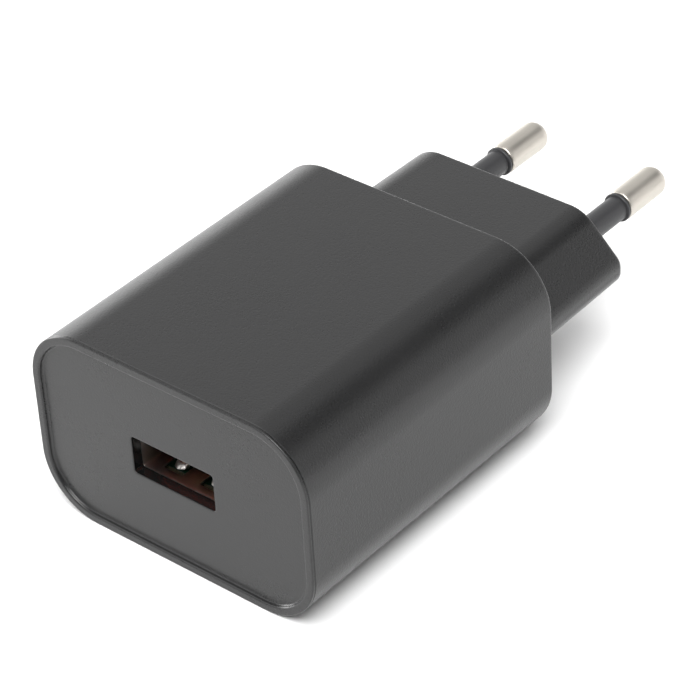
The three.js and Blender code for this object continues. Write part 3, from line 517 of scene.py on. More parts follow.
def ferrite_material(name):
    """Sintered ferrite: matt grey-black with a fine grain, small pits and edges lightened to pale grey as a
    painted highlight.
    """
    look = Look(name, Specular_IOR_Level=0.4)
    grain = look.noise(2600.0, detail=4.0, roughness=0.7)
    pits = look.cells(1500.0)
    pit_depth_and_shade = look.spread(pits, 1.0, 0.0, 0.05, 0.18)
    body = look.ramp(grain, (0.3, (0.030, 0.030, 0.033)), (0.7, (0.060, 0.060, 0.064)))
    # The pits are painted near black, as painted shade inside them, besides their bump.
    pit_shaded_body = look.mixed(pit_depth_and_shade, body, (0.012, 0.012, 0.013))
    # Edges are mixed towards pale grey as a painted highlight.
    look.feed("Base Color", look.mixed(look.math("MULTIPLY", look.edge_sheen(), 0.6), pit_shaded_body, (0.16, 0.16, 0.165)))
    look.feed("Roughness", look.spread(grain, 0.55, 0.8))
    look.feed("Normal", look.bump(look.math("SUBTRACT", grain, pit_depth_and_shade), 0.00003, 0.7))
    return look.material


def enamelled_wire(name, colour, lay):
    """Enamelled copper wire; the gloss and the tone change from turn to turn along the lay."""
    look = Look(name, Metallic=0.85, Coat_Weight=0.8, Coat_Roughness=0.08)
    turn = look.noise(500.0, detail=3.0, vector=look.stretched(lay))
    fine = look.noise(2200.0)
    dark = tuple(channel * 0.6 for channel in colour)
    look.feed("Base Color", look.ramp(turn, (0.3, dark), (0.7, colour)))
    look.feed("Roughness", look.spread(fine, 0.22, 0.38))
    look.feed("Normal", look.bump(turn, 0.00001, 0.5))
    return look.material


def tape_material():
    """Yellow polyester tape: glossy, faintly wrinkled, with wire tone showing through."""
    look = Look("yellow_tape", Coat_Weight=0.6, Coat_Roughness=0.06)
    wrinkle = look.noise(420.0, detail=4.0, vector=look.stretched((1.0, 1.0, 4.0)))
    tone = look.noise(150.0)
    look.feed("Base Color", look.ramp(tone, (0.35, (0.55, 0.30, 0.02)), (0.7, (0.80, 0.52, 0.04))))
    look.feed("Roughness", look.spread(wrinkle, 0.18, 0.34))
    look.feed("Normal", look.bump(wrinkle, 0.00006, 0.6))
    return look.material


def banded_resistor(low, high):
    """A cement-coated body with plain colour bands and tinned leads at its ends."""
    look = Look("resistor_body")
    mottle = look.noise(1300.0, detail=4.0)
    across = look.spread(look.along("X"), 0.0, 1.0, low[0], high[0])
    node = look.node("ValToRGB", Fac=across)
    node.color_ramp.interpolation = "CONSTANT"
    coat, stops = (0.10, 0.24, 0.20), [0.0, 0.16, 0.22, 0.32, 0.38, 0.50, 0.56, 0.80, 0.86]
    bands = [coat, (0.30, 0.02, 0.01), coat, (0.02, 0.02, 0.02), coat, (0.05, 0.02, 0.01), coat,
             (0.55, 0.38, 0.08), coat]
    while len(node.color_ramp.elements) < len(stops):
        node.color_ramp.elements.new(0.5)
    for element, stop, band in zip(node.color_ramp.elements, stops, bands):
        element.position, element.color = stop, (*band, 1.0)
    shade = look.mixed(look.spread(mottle, 0.0, 0.3), node.outputs["Color"], (0.03, 0.05, 0.05))
    look.feed("Base Color", shade)
    look.feed("Roughness", look.spread(mottle, 0.40, 0.55))
    look.feed("Normal", look.bump(mottle, 0.00003, 0.6))
    return with_metal(look, look.math("SUBTRACT", 1.0, look.within(low, high)))


def capacitor_sleeve(name, colour, x):
    """Shrink sleeve: a glossy film with fine shrink lines and a pale stripe down one side."""
    look = Look(name, Coat_Weight=0.3, Coat_Roughness=0.1)
    lines = look.noise(600.0, detail=4.0, vector=look.stretched((3.0, 3.0, 0.3)))
    cloud = look.noise(220.0)
    body = look.ramp(cloud, (0.3, tuple(channel * 0.85 for channel in colour)), (0.7, colour))
    side = look.math("LESS_THAN", look.along("X"), x - 3.2)
    look.feed("Base Color", look.mixed(side, body, (0.45, 0.46, 0.48)))
    look.feed("Roughness", look.spread(lines, 0.24, 0.38))
    look.feed("Normal", look.bump(lines, 0.00003, 0.5))
    return look.material


def aluminium_top(name, x, y):
    """The can's pressed aluminium top, with a scored relief cross whose grooves are painted dark as painted
    shade.
    """
    look = Look(name, Metallic=1.0)
    grain = look.noise(1500.0, detail=4.0)
    score_groove_and_shade = look.math("MAXIMUM", look.between("X", x - 0.09, x + 0.09), look.between("Y", y - 0.09, y + 0.09))
    # The scored grooves are painted darker, as painted shade in the creases, besides their bump.
    look.feed("Base Color", look.mixed(score_groove_and_shade, (0.78, 0.79, 0.80), (0.35, 0.35, 0.36)))
    look.feed("Roughness", look.spread(grain, 0.28, 0.42))
    look.feed("Normal", look.bump(look.math("SUBTRACT", grain, look.math("MULTIPLY", score_groove_and_shade, 3.0)), 0.00003,
                                  0.6))
    return look.material


FERRITE = ferrite_material("ferrite")
BOBBIN = coated("bobbin_resin", (0.020, 0.020, 0.022), 0.50).material
TAPE = tape_material()
RUBBER = coated("capacitor_bung", (0.015, 0.015, 0.016), 0.75).material


# ---------------------------------------------------------------- casing

def body_rings(mesh_builder, stations, edge_sheen=0.0):
    return [add_ring(mesh_builder, body_outline(inset), y, edge_sheen) for y, inset in stations]


def neck_rings(mesh_builder, stations, edge_sheen=0.0):
    return [add_ring(mesh_builder, neck_outline(inset, y), y, edge_sheen) for y, inset in stations]


def housing():
    mesh_builder = bmesh.new()
    seam = [(LIP_END, 0.10), (LIP_END + 0.10, 0.0)]
    sides = [(LIP_END + 0.35, 0.0), (LIP_END + 1.0, 0.0), (BODY_REAR - 1.0, 0.0), (BODY_REAR - 0.55, 0.0)]
    rear = fillet((BODY_REAR - 0.35, 0.0), (BODY_REAR, 0.35), 1)
    # The seam ring and the rounds at the body's rear and the neck's end get a share of painted highlight in
    # their colour.
    rings = body_rings(mesh_builder, seam, 0.7) + body_rings(mesh_builder, sides)
    rings += body_rings(mesh_builder, rear, 1.0) + body_rings(mesh_builder, [(BODY_REAR, 0.6)])
    root = fillet((BODY_REAR, -0.3), (BODY_REAR + 0.3, 0.0), -1)
    neck = [(BODY_REAR, -0.5)] + root + [(BODY_REAR + 1.0, 0.0), (NECK_REAR - 1.2, 0.0),
                                         (NECK_REAR - 0.7, 0.0)]
    rings += neck_rings(mesh_builder, neck)
    rings += neck_rings(mesh_builder, fillet((NECK_REAR - 0.45, 0.0), (NECK_REAR, 0.45), 1, 6), 0.8)
    rings += neck_rings(mesh_builder, [(NECK_REAR, 0.75)])
    bridge_all(mesh_builder, rings)

    inner_wall = NECK_REAR - NECK_WALL
    inside = neck_rings(mesh_builder, [(inner_wall, WALL), (BODY_REAR - WALL, WALL)])
    inside += body_rings(mesh_builder, [(BODY_REAR - WALL, WALL), (FRONT + LIP_DEPTH, WALL)])
    inside += body_rings(mesh_builder, [(FRONT + LIP_DEPTH, LIP_WALL), (LIP_END, LIP_WALL)])
    bridge_all(mesh_builder, inside + [rings[0]])

    bores = []
    for pin in ("pin_left", "pin_right"):
        low, high = box_mm(pin)
        x, z = (low.x + high.x) / 2, (low.z + high.z) / 2
        stations = [(BORE_RADIUS + 0.12, NECK_REAR), (BORE_RADIUS, NECK_REAR - 0.15),
                    (BORE_RADIUS, inner_wall)]
        bores.append([add_ring(mesh_builder, circle(radius, x, z), y) for radius, y in stations])
        bridge_all(mesh_builder, bores[-1])
    fill_with_holes(mesh_builder, rings[-1], *[bore[0] for bore in bores])
    fill_with_holes(mesh_builder, inside[0], *[bore[-1] for bore in bores])
    piece = new_object("casing_housing", mesh_builder)
    stand_for(piece, BODY, "casing", CASING, "housing")


def front_cap():
    mesh_builder = bmesh.new()
    panel = FRONT + PANEL_RECESS
    edge = [(FLANGE_BACK - 0.10, 0.0)] + fillet((FRONT + 0.16, 0.0), (FRONT, 0.16), 1, 4)
    rim_inside = fillet((FRONT, RIM_WIDTH - 0.28), (FRONT + 0.28, RIM_WIDTH), -1, 5)
    hollow = fillet((panel - 0.27, RIM_WIDTH), (panel, RIM_WIDTH + 0.32), 1, 5)
    rings = body_rings(mesh_builder, [(FLANGE_BACK, PLUG_INSET), (FLANGE_BACK, 0.10)])
    # The front edge, the rim's inner round and the port's edge get a share of painted highlight in their
    # colour.
    rings += body_rings(mesh_builder, edge, 0.9)
    rings += body_rings(mesh_builder, [(FRONT, 0.35), (FRONT, RIM_WIDTH - 0.45)])
    rings += body_rings(mesh_builder, rim_inside, 0.5)
    rings += body_rings(mesh_builder, hollow + [(panel, RIM_WIDTH + 0.7)])
    port_edge = fillet((panel, PORT_EDGE), (panel + PORT_EDGE, 0.0), -1, 4)
    for stations, edge_sheen in (([(panel, 0.35)], 0.0), (port_edge, 0.8),
                           ([(panel + 0.4, 0.0), (PANEL_BACK, 0.0)], 0.0)):
        rings += [add_ring(mesh_builder, port_outline(grow), y, edge_sheen) for y, grow in stations]
    skirt_inset = PLUG_INSET + SKIRT_WALL
    rings += body_rings(mesh_builder, [
        (PANEL_BACK, skirt_inset), (CAP_HIGH.y, skirt_inset), (CAP_HIGH.y, PLUG_INSET)])
    bridge_all(mesh_builder, rings, closed=True)
    piece = new_object("casing_front_cap", mesh_builder)
    stand_for(piece, BODY, "casing", CASING, "front_cap")
    # The walls of the port opening are left smooth by the mould's core pin, and their colour is darker than
    # the casing's as painted shade inside the opening.
    piece.data.materials.append(PORT_WALL_PAINTED_SHADE)
    for face in piece.data.polygons:
        place = face.center / MM
        in_depth = panel + PORT_EDGE + 0.01 < place.y < PANEL_BACK - 0.01
        in_width = abs(place.x) < PORT_WIDTH / 2 + 0.05
        in_height = abs(place.z - USB_MID) < PORT_HEIGHT / 2 + 0.05
        if in_depth and in_width and in_height:
            face.material_index = 1


# ---------------------------------------------------------------- pins

PIN_TIP_ROUND = 1.55
PIN_BARE = 8.4
PIN_CORE_RADIUS = 1.2
SLEEVE_BORE = 1.25
SLEEVE_RADIUS = 1.64
SLEEVE_LIP = 0.45


def pin(side):
    low, high = box_mm("pin_" + side)
    x, z, radius = (low.x + high.x) / 2, (low.z + high.z) / 2, (high.x - low.x) / 2
    bare = high.y - PIN_BARE
    flange = NECK_REAR - NECK_WALL - 0.1
    profile = [(0, low.y), (PIN_CORE_RADIUS - 0.2, low.y), (PIN_CORE_RADIUS, low.y + 0.2)]
    profile += [(PIN_CORE_RADIUS, flange - 0.8), (radius - 0.1, flange - 0.8), (radius, flange - 0.7)]
    profile += [(radius, flange - 0.1), (radius - 0.1, flange), (PIN_CORE_RADIUS, flange)]
    profile += [(PIN_CORE_RADIUS, bare), (radius - 0.22, bare), (radius - 0.1, bare + 0.03)]
    profile += [(radius - 0.03, bare + 0.1), (radius, bare + 0.22), (radius, bare + 0.8)]
    profile += [(radius, high.y - PIN_TIP_ROUND - 0.6)]
    for step in range(13):
        angle = math.pi / 2 * step / 12
        profile.append((radius - PIN_TIP_ROUND * (1 - math.cos(angle)),
                        high.y - PIN_TIP_ROUND * (1 - math.sin(angle))))
    profile.append((0, high.y))
    mesh_builder = bmesh.new()
    lathe_along_y(mesh_builder, profile, x, z)
    stand_for(new_object("plug_pin_" + side, mesh_builder), BODY, "pin_metal", PIN_METAL, "pin_" + side)


def pin_sleeve(side):
    low, high = box_mm("pin_sleeve_" + side)
    x, z, collar = (low.x + high.x) / 2, (low.z + high.z) / 2, (high.x - low.x) / 2
    lip = high.y - SLEEVE_LIP
    profile = [(SLEEVE_BORE, low.y), (SLEEVE_RADIUS, low.y), (SLEEVE_RADIUS, lip - 0.1)]
    profile += [(collar - 0.04, lip + 0.02), (collar, lip + 0.08), (collar, high.y - 0.08)]
    profile += [(collar - 0.04, high.y - 0.02), (collar - 0.1, high.y), (SLEEVE_BORE, high.y)]
    mesh_builder = bmesh.new()
    rings = lathe_along_y(mesh_builder, profile, x, z)
    bridge(mesh_builder, rings[-1], rings[0])
    piece = new_object("plug_pin_sleeve_" + side, mesh_builder)
    stand_for(piece, BODY, "pin_insulation", INSULATION, "pin_sleeve_" + side)


# ---------------------------------------------------------------- USB receptacle

FINGER_X = 2.8
FINGER_HALF = 0.85
FINGER_WINDOW_HALF = 1.5
FINGER_WINDOW_FRONT = 1.15
FINGER_TIP = 2.1
FINGER_ROOT = 7.4
FINGER_RISE = 0.45
FINGER_CURL = 0.2
SHELL_BEND = 0.45


def smooth_step(value):
    value = min(max(value, 0.0), 1.0)
    return value * value * (3 - 2 * value)


def finger_height(depth):
    """How far a finger stands into the port at one depth: a long bow and a curled-out tip."""
    crest = FINGER_TIP + 1.05
    if depth >= crest:
        return FINGER_RISE * smooth_step((FINGER_ROOT - 0.3 - depth) / (FINGER_ROOT - 0.3 - crest))
    fall = ((crest - depth) / (crest - FINGER_TIP)) ** 1.7
    return FINGER_RISE - (FINGER_RISE + FINGER_CURL) * fall


def shell_columns():
    """The shell's cross-section as (x, z, face) points; face is -1 on the floor, 1 on the roof, 0 between."""
    half_width = (SHELL_INNER_WIDTH + SHEET) / 2
    half_height = (SHELL_INNER_HEIGHT + SHEET) / 2
    flat = half_width - SHELL_BEND
    finger = [FINGER_X - FINGER_HALF + 2 * FINGER_HALF * step / 8 for step in range(9)]
    marks = [FINGER_X - FINGER_WINDOW_HALF] + finger + [FINGER_X + FINGER_WINDOW_HALF]
    marks = sorted([-mark for mark in marks] + [-0.4, 0.4] + marks)
    marks = [-flat, -flat + 0.4] + marks + [flat - 0.4, flat]
    bends = [math.radians(90 * step / 6) for step in range(7)]
    reach = half_height - SHELL_BEND
    sides = [-reach + 2 * reach * step / 6 for step in range(1, 6)]
    columns = [(x, -half_height, -1) for x in marks]
    columns += [(flat + SHELL_BEND * math.sin(a), -reach - SHELL_BEND * math.cos(a), 0) for a in bends[1:]]
    columns += [(half_width, z, 0) for z in sides]
    columns += [(flat + SHELL_BEND * math.cos(a), reach + SHELL_BEND * math.sin(a), 0) for a in bends[:-1]]
    columns += [(x, half_height, 1) for x in reversed(marks)]
    columns += [(-flat - SHELL_BEND * math.sin(a), reach + SHELL_BEND * math.cos(a), 0) for a in bends[1:]]
    columns += [(-half_width, -z, 0) for z in sides]
    columns += [(-flat - SHELL_BEND * math.cos(a), -reach - SHELL_BEND * math.sin(a), 0) for a in bends[:-1]]
    return columns


def shell_rows():
    inside = [FINGER_TIP + 0.12 * step for step in range(9)]
    inside += [FINGER_TIP + 1.3 + (FINGER_ROOT - FINGER_TIP - 1.3) * step / 12 for step in range(13)]
    length = SHELL_HIGH.y - SHELL_LOW.y
    return [0.0, 0.3, FINGER_WINDOW_FRONT] + inside + [length - 3.0, length]


def usb_shell():
    """The drawn steel shell: a folded sheet with finger windows, given its thickness by Solidify."""
    mesh_builder = bmesh.new()
    columns, rows = shell_columns(), shell_rows()
    tolerance = 1e-6

    def within(x, half):
        return abs(abs(x) - FINGER_X) <= half + tolerance

    grid = []
    for depth in rows:
        line = []
        for x, z, face in columns:
            y = SHELL_LOW.y + depth
            if face and within(x, FINGER_HALF) and FINGER_TIP - tolerance <= depth <= FINGER_ROOT:
                z -= face * finger_height(depth)
                across = (abs(x) - FINGER_X) / FINGER_HALF
                rounding = FINGER_HALF * (1 - math.sqrt(max(1 - across ** 2, 0.0)))
                y += rounding * (1 - smooth_step((depth - FINGER_TIP) / 2.2))
            line.append(mesh_builder.verts.new((x, y, z + USB_MID)))
        grid.append(line)
    count = len(columns)
    for row in range(len(rows) - 1):
        depth = (rows[row] + rows[row + 1]) / 2
        for index in range(count):
            after = (index + 1) % count
            x = (columns[index][0] + columns[after][0]) / 2
            on_face = columns[index][2] and columns[index][2] == columns[after][2]
            in_window = on_face and within(x, FINGER_WINDOW_HALF)
            in_window = in_window and FINGER_WINDOW_FRONT < depth < FINGER_ROOT
            on_finger = within(x, FINGER_HALF) and depth > FINGER_TIP
            if in_window and not on_finger:
                continue
            mesh_builder.faces.new((grid[row][index], grid[row][after], grid[row + 1][after],
                                    grid[row + 1][index]))
    for side in (-1, 1):
        for station in (4.2, 10.2):
            add_leg(mesh_builder, side * (SHELL_INNER_WIDTH + SHEET) / 2, SHELL_LOW.y + station)
    piece = new_object("usb_port_shell", mesh_builder, weighted=False)
    thicken = piece.modifiers.new("sheet", "SOLIDIFY")
    thicken.thickness, thicken.offset = SHEET * MM, 0.0
    round_edges = piece.modifiers.new("edges", "BEVEL")
    round_edges.width, round_edges.segments, round_edges.limit_method = 0.05 * MM, 2, "ANGLE"
    round_edges.angle_limit = math.radians(50)
    round_edges.use_clamp_overlap = True
    stand_for(piece, BODY, "usb_shell_metal", SHELL_METAL, "usb_shell")


def add_leg(mesh_builder, x, y):
    """A board leg: a plain sheet strip that hangs from the side wall and narrows at its end."""
    top, bottom = USB_MID - SHELL_INNER_HEIGHT / 2 + 1.0, SHELL_LOW.z
    outline = [(-0.8, top), (0.8, top), (0.8, bottom + 0.7), (0.45, bottom), (-0.45, bottom),
               (-0.8, bottom + 0.7)]
    shift = math.copysign(0.01, x)
    mesh_builder.faces.new([mesh_builder.verts.new((x + shift, y + along, z)) for along, z in outline])


def refined_copy(node, name, width, slot, material, body=BODY, segments=2, sharp_degrees=28.0):
    """A planar-faced CAD piece again, with its flats made whole and every edge broken by a small round."""
    mesh_builder = bmesh.new()
    mesh_builder.from_mesh(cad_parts[node].data)
    bmesh.ops.scale(mesh_builder, vec=(1 / MM, 1 / MM, 1 / MM), verts=mesh_builder.verts)
    bmesh.ops.remove_doubles(mesh_builder, verts=mesh_builder.verts, dist=1e-4)
    bmesh.ops.dissolve_limit(mesh_builder, angle_limit=math.radians(1.0), verts=mesh_builder.verts,
                             edges=mesh_builder.edges, delimit={"NORMAL"})
    bmesh.ops.recalc_face_normals(mesh_builder, faces=mesh_builder.faces)
    layer = edge_sheen_layer(mesh_builder)
    sharp = [edge for edge in mesh_builder.edges
             if edge.is_manifold and edge.calc_face_angle_signed(0.0) > math.radians(sharp_degrees)]
    rounded = bmesh.ops.bevel(mesh_builder, geom=sharp, offset=width, offset_type="OFFSET", segments=segments,
                              profile=0.5, affect="EDGES", clamp_overlap=True)
    # Every new round is marked to get a painted highlight in its colour.
    for vertex in rounded["verts"]:
        vertex[layer] = 1.0
    piece = new_object(name, mesh_builder)
    stand_for(piece, body, slot, material, node)
    return piece


CONTACT_WIDTH = 1.0
CONTACT_SHEET = 0.25


def ribbon(mesh_builder, line, x, width, thickness):
    """A strip of sheet along a smooth (y, z) line, its edges rounded, with closed ends."""
    count = len(line)
    rings = []
    for index, (y, z) in enumerate(line):
        before, after = line[max(index - 1, 0)], line[min(index + 1, count - 1)]
        along = Vector((after[0] - before[0], after[1] - before[1])).normalized()
        up = Vector((-along.y, along.x))
        half_width, half_thick, corner = width / 2, thickness / 2, thickness * 0.3
        section = rounded_rectangle(2 * half_width, 2 * half_thick, corner, (0, 0), 3, 2)
        rings.append([mesh_builder.verts.new((x + u, y + up.x * v, z + up.y * v)) for u, v in section])
    bridge_all(mesh_builder, rings)
    mesh_builder.faces.new(rings[0])
    mesh_builder.faces.new(list(reversed(rings[-1])))


def smooth_line(points, steps=8):
    """A Catmull-Rom curve through (y, z) points."""
    ends = [points[0]] + points + [points[-1]]
    line = []
    for index in range(1, len(ends) - 2):
        a, b, c, d = (Vector(point) for point in ends[index - 1:index + 3])
        for step in range(steps):
            t = step / steps
            point = 0.5 * (2 * b + (c - a) * t + (2 * a - 5 * b + 4 * c - d) * t * t
                           + (3 * b - a - 3 * c + d) * t ** 3)
            line.append(tuple(point))
    return line + [points[-1]]


def contact_arm(index):
    node = f"usb_contact_arm_{index}"
    low, high = box_mm(node)
    x = (low.x + high.x) / 2
    root_level = high.z - CONTACT_SHEET / 2
    crest = low.z + CONTACT_SHEET / 2
    line = [(high.y, root_level), (high.y - 1.4, root_level), (high.y - 3.4, root_level - 0.42)]
    line += [(low.y + 2.6, crest + 0.08), (low.y + 1.8, crest), (low.y + 1.1, crest + 0.14)]
    line += [(low.y + 0.12, crest + 0.70)]
    mesh_builder = bmesh.new()
    ribbon(mesh_builder, smooth_line(line), x, CONTACT_WIDTH, CONTACT_SHEET)
    piece = new_object(f"usb_contact_strip_{index}", mesh_builder)
    stand_for(piece, f"usb_contact_{index}", "contact_gold", GOLD, node)


def usb_port():
    usb_shell()
    refined_copy("usb_tongue", "usb_port_tongue", 0.12, "usb_insulator", INSULATOR)
    for index in range(1, 5):
        contact_arm(index)
        refined_copy(f"usb_contact_tail_{index}", f"usb_contact_lead_{index}", 0.04, "contact_gold", GOLD)


# ---------------------------------------------------------------- board and components

BOARD_LOW, BOARD_HIGH = box_mm("main_board")
SEAT = BOARD_HIGH.z + 0.05
LEAD_END = BOARD_LOW.z - 1.0
LEAD_RADIUS = 0.3


def lead(mesh_builder, x, y, top, radius=LEAD_RADIUS):
    """A round lead through the board, with the domed end that cutting leaves."""
    profile = [(0, LEAD_END), (radius * 0.7, LEAD_END), (radius, LEAD_END + 0.12), (radius, top), (0, top)]
    turned(mesh_builder, profile, (x, y, 0.0), steps=16)


def capacitor(node, look):
    """A radial electrolytic: sleeve, aluminium can with a scored top, rubber bung and two leads."""
    low, high = box_mm(node)
    x, y, top = (low.x + high.x) / 2, (low.y + high.y) / 2, high.z
    radius = (high.y - low.y) / 2
    sleeve = soften([
        (radius - 0.5, SEAT + 0.02), (radius - 0.15, SEAT + 0.02), (radius - 0.02, SEAT + 0.3),
        (radius - 0.02, SEAT + 1.1),
        (radius - 0.36, SEAT + 1.5), (radius - 0.02, SEAT + 1.9), (radius - 0.02, top - 0.35),
        (radius - 0.3, top - 0.01),
        (radius - 0.75, top - 0.03)], 0.3, 4)
    mesh_builder = bmesh.new()
    inner = [(radius - 0.8, top - 0.06), (radius - 0.6, top - 0.4), (radius - 0.6, SEAT + 0.1)]
    turned(mesh_builder, sleeve + inner, (x, y, 0.0), closed=True, steps=64)
    stand_for(new_object(node + "_sleeve", mesh_builder), BODY, look[0],
              capacitor_sleeve(node + "_film", look[1], x), node)
    can = soften([(0, SEAT + 1.2), (radius - 0.65, SEAT + 1.2), (radius - 0.65, top - 0.12),
                  (radius - 1.0, top - 0.3),
                  (0, top - 0.33)], 0.15)
    mesh_builder = bmesh.new()
    turned(mesh_builder, can, (x, y, 0.0), steps=64)
    stand_for(new_object(node + "_can", mesh_builder), BODY, look[0],
              aluminium_top(node + "_aluminium", x, y), node)
    mesh_builder = bmesh.new()
    turned(mesh_builder, soften([(0, SEAT + 0.1), (radius - 0.7, SEAT + 0.1), (radius - 0.62, SEAT + 0.5),
                                 (radius - 0.7, SEAT + 1.15), (0, SEAT + 1.15)]), (x, y, 0.0))
    stand_for(new_object(node + "_bung", mesh_builder), BODY, look[0], RUBBER, node)
    mesh_builder = bmesh.new()
    for side in (-1, 1):
        lead(mesh_builder, x + side * 1.75, y, SEAT + 0.3)
    stand_for(new_object(node + "_leads", mesh_builder), BODY, look[0], TINNED, node)


def wound_coil(node, name, wire, material, hole):
    """A rectangular coil whose outside shows the turns of wire."""
    low, high = box_mm(node)
    mid = ((low.x + high.x) / 2, (low.y + high.y) / 2)
    width, depth = high.x - low.x, high.y - low.y
    turns = max(int((high.z - low.z) / wire), 3)
    mesh_builder = bmesh.new()
    layer = edge_sheen_layer(mesh_builder)
    rings = []
    for step in range(turns * 6 + 1):
        z = low.z + (high.z - low.z) * step / (turns * 6)
        ripple = wire * 0.28 * (1 - abs(math.sin(math.pi * step / 6)))
        outline = rounded_rectangle(width - 2 * ripple, depth - 2 * ripple, 1.0 - ripple, mid, 8, 6)
        rings.append([mesh_builder.verts.new((x, y, z)) for x, y in outline])
    hole_width, hole_depth = width - 2 * hole, depth - 2 * hole
    for z in (high.z, low.z):
        outline = rounded_rectangle(hole_width, hole_depth, 0.25, mid, 8, 6)
        rings.append([mesh_builder.verts.new((x, y, z)) for x, y in outline])
    bridge_all(mesh_builder, rings, closed=True)
    for vertex in mesh_builder.verts:
        vertex[layer] = 0.0
    stand_for(new_object(name, mesh_builder, 60.0), BODY, "winding", material, node)


def transformer():
    refined_copy("transformer_core_lower", "transformer_ferrite_lower", 0.22, "ferrite", FERRITE)
    refined_copy("transformer_core_upper", "transformer_ferrite_upper", 0.22, "ferrite", FERRITE)
    refined_copy("transformer_bobbin", "transformer_coil_former", 0.12, "black_epoxy", BOBBIN)
    refined_copy("transformer_tape", "transformer_tape_wrap", 0.03, "tape", TAPE)
    primary = enamelled_wire("primary_wire", (0.62, 0.22, 0.07), (0.3, 0.3, 6.0))
    secondary = enamelled_wire("secondary_wire", (0.74, 0.34, 0.12), (0.3, 0.3, 4.0))
    wound_coil("primary_winding", "transformer_primary_turns", 0.28, primary, 1.1)
    wound_coil("secondary_winding", "transformer_secondary_turns", 0.55, secondary, 0.8)
    for index in range(1, 7):
        node = f"transformer_pin_{index}"
        low, high = box_mm(node)
        mesh_builder = bmesh.new()
        lead(mesh_builder, (low.x + high.x) / 2, (low.y + high.y) / 2, high.z, 0.32)
        stand_for(new_object(f"transformer_lead_{index}", mesh_builder), BODY, "tinned_metal", TINNED, node)


def choke():
    low, high = box_mm("choke_core")
    x, y = (low.x + high.x) / 2, (low.y + high.y) / 2
    radius = (high.y - low.y) / 2
    drum = soften([(0, low.z), (radius, low.z), (radius, low.z + 1.2), (1.5, low.z + 1.2), (1.5, low.z + 6.4),
                   (radius, low.z + 6.4), (radius, high.z), (0, high.z)], 0.2, 4)
    mesh_builder = bmesh.new()
    turned(mesh_builder, drum, (x, y, 0.0))
    stand_for(new_object("choke_drum", mesh_builder), BODY, "ferrite", FERRITE, "choke_core")
    low, high = box_mm("choke_winding")
    turns, wire = 12, (high.z - low.z) / 12
    outside = [((high.y - low.y) / 2 - wire * 0.35 * (1 - abs(math.sin(math.pi * step / 6))),
                low.z + wire * step / 6)
               for step in range(turns * 6 + 1)]
    mesh_builder = bmesh.new()
    turned(mesh_builder, outside + [(1.62, high.z), (1.62, low.z)], (x, y, 0.0), closed=True)
    wire_look = enamelled_wire("choke_wire", (0.70, 0.26, 0.08), (0.3, 0.3, 5.0))
    stand_for(new_object("choke_turns", mesh_builder, 60.0), BODY, "winding", wire_look, "choke_winding")


def resistor():
    low, high = box_mm("fusible_resistor")
    x, y = (low.x + high.x) / 2, (low.y + high.y) / 2
    level, radius, half = high.z - (high.y - low.y) / 2, (high.y - low.y) / 2, 4.4
    body = soften([(0, -half), (radius - 0.35, -half), (radius, -half + 0.4), (radius, -3.1),
                   (radius - 0.2, -2.6),
                   (radius - 0.2, 2.6), (radius, 3.1), (radius, half - 0.4), (radius - 0.35, half),
                   (0, half)], 0.35, 4)
    mesh_builder = bmesh.new()
    turned(mesh_builder, body, (x, y, level), axis="X")
    for side in (-1, 1):
        middle = x + side * (half + 0.25)
        turned(mesh_builder, [(0, SEAT), (0.24, SEAT), (0.24, level + 0.1), (0.12, level + 0.24),
                              (0, level + 0.24)],
               (middle, y, 0.0), steps=16)
    look = banded_resistor((x - half - 0.01, y - 2, level - 2), (x + half + 0.01, y + 2, level + 2))
    stand_for(new_object("fusible_resistor_body", mesh_builder), BODY, "resistor_coat", look,
              "fusible_resistor")


def disc_capacitor():
    low, high = box_mm("safety_capacitor")
    x, y, radius = (low.x + high.x) / 2, (low.y + high.y) / 2, (high.y - low.y) / 2
    level = high.z - radius
    profile = [(0, -1.55), (2.4, -1.5), (radius - 0.45, -1.1), (radius - 0.02, -0.35), (radius - 0.02, 0.35),
               (radius - 0.45, 1.1), (2.4, 1.5), (0, 1.55)]
    mesh_builder = bmesh.new()
    turned(mesh_builder, soften(profile, 0.9, 6), (x, y, level), axis="X", steps=64)
    for side in (-1, 1):
        foot = y + side * 2.5
        turned(mesh_builder, [(0, SEAT), (0.3, SEAT), (0.3, level - 3.2), (0.55, level - 2.4),
                              (0.6, level - 1.4),
                              (0, level - 1.4)], (x, foot, 0.0), steps=20)
    coat = coated("disc_coat", (0.03, 0.11, 0.38), 0.30, coat=0.5)
    look = with_metal(coat, coat.math("LESS_THAN", coat.along("Z"), level - 3.1))
    stand_for(new_object("safety_capacitor_disc", mesh_builder), BODY, "disc_blue", look, "safety_capacitor")


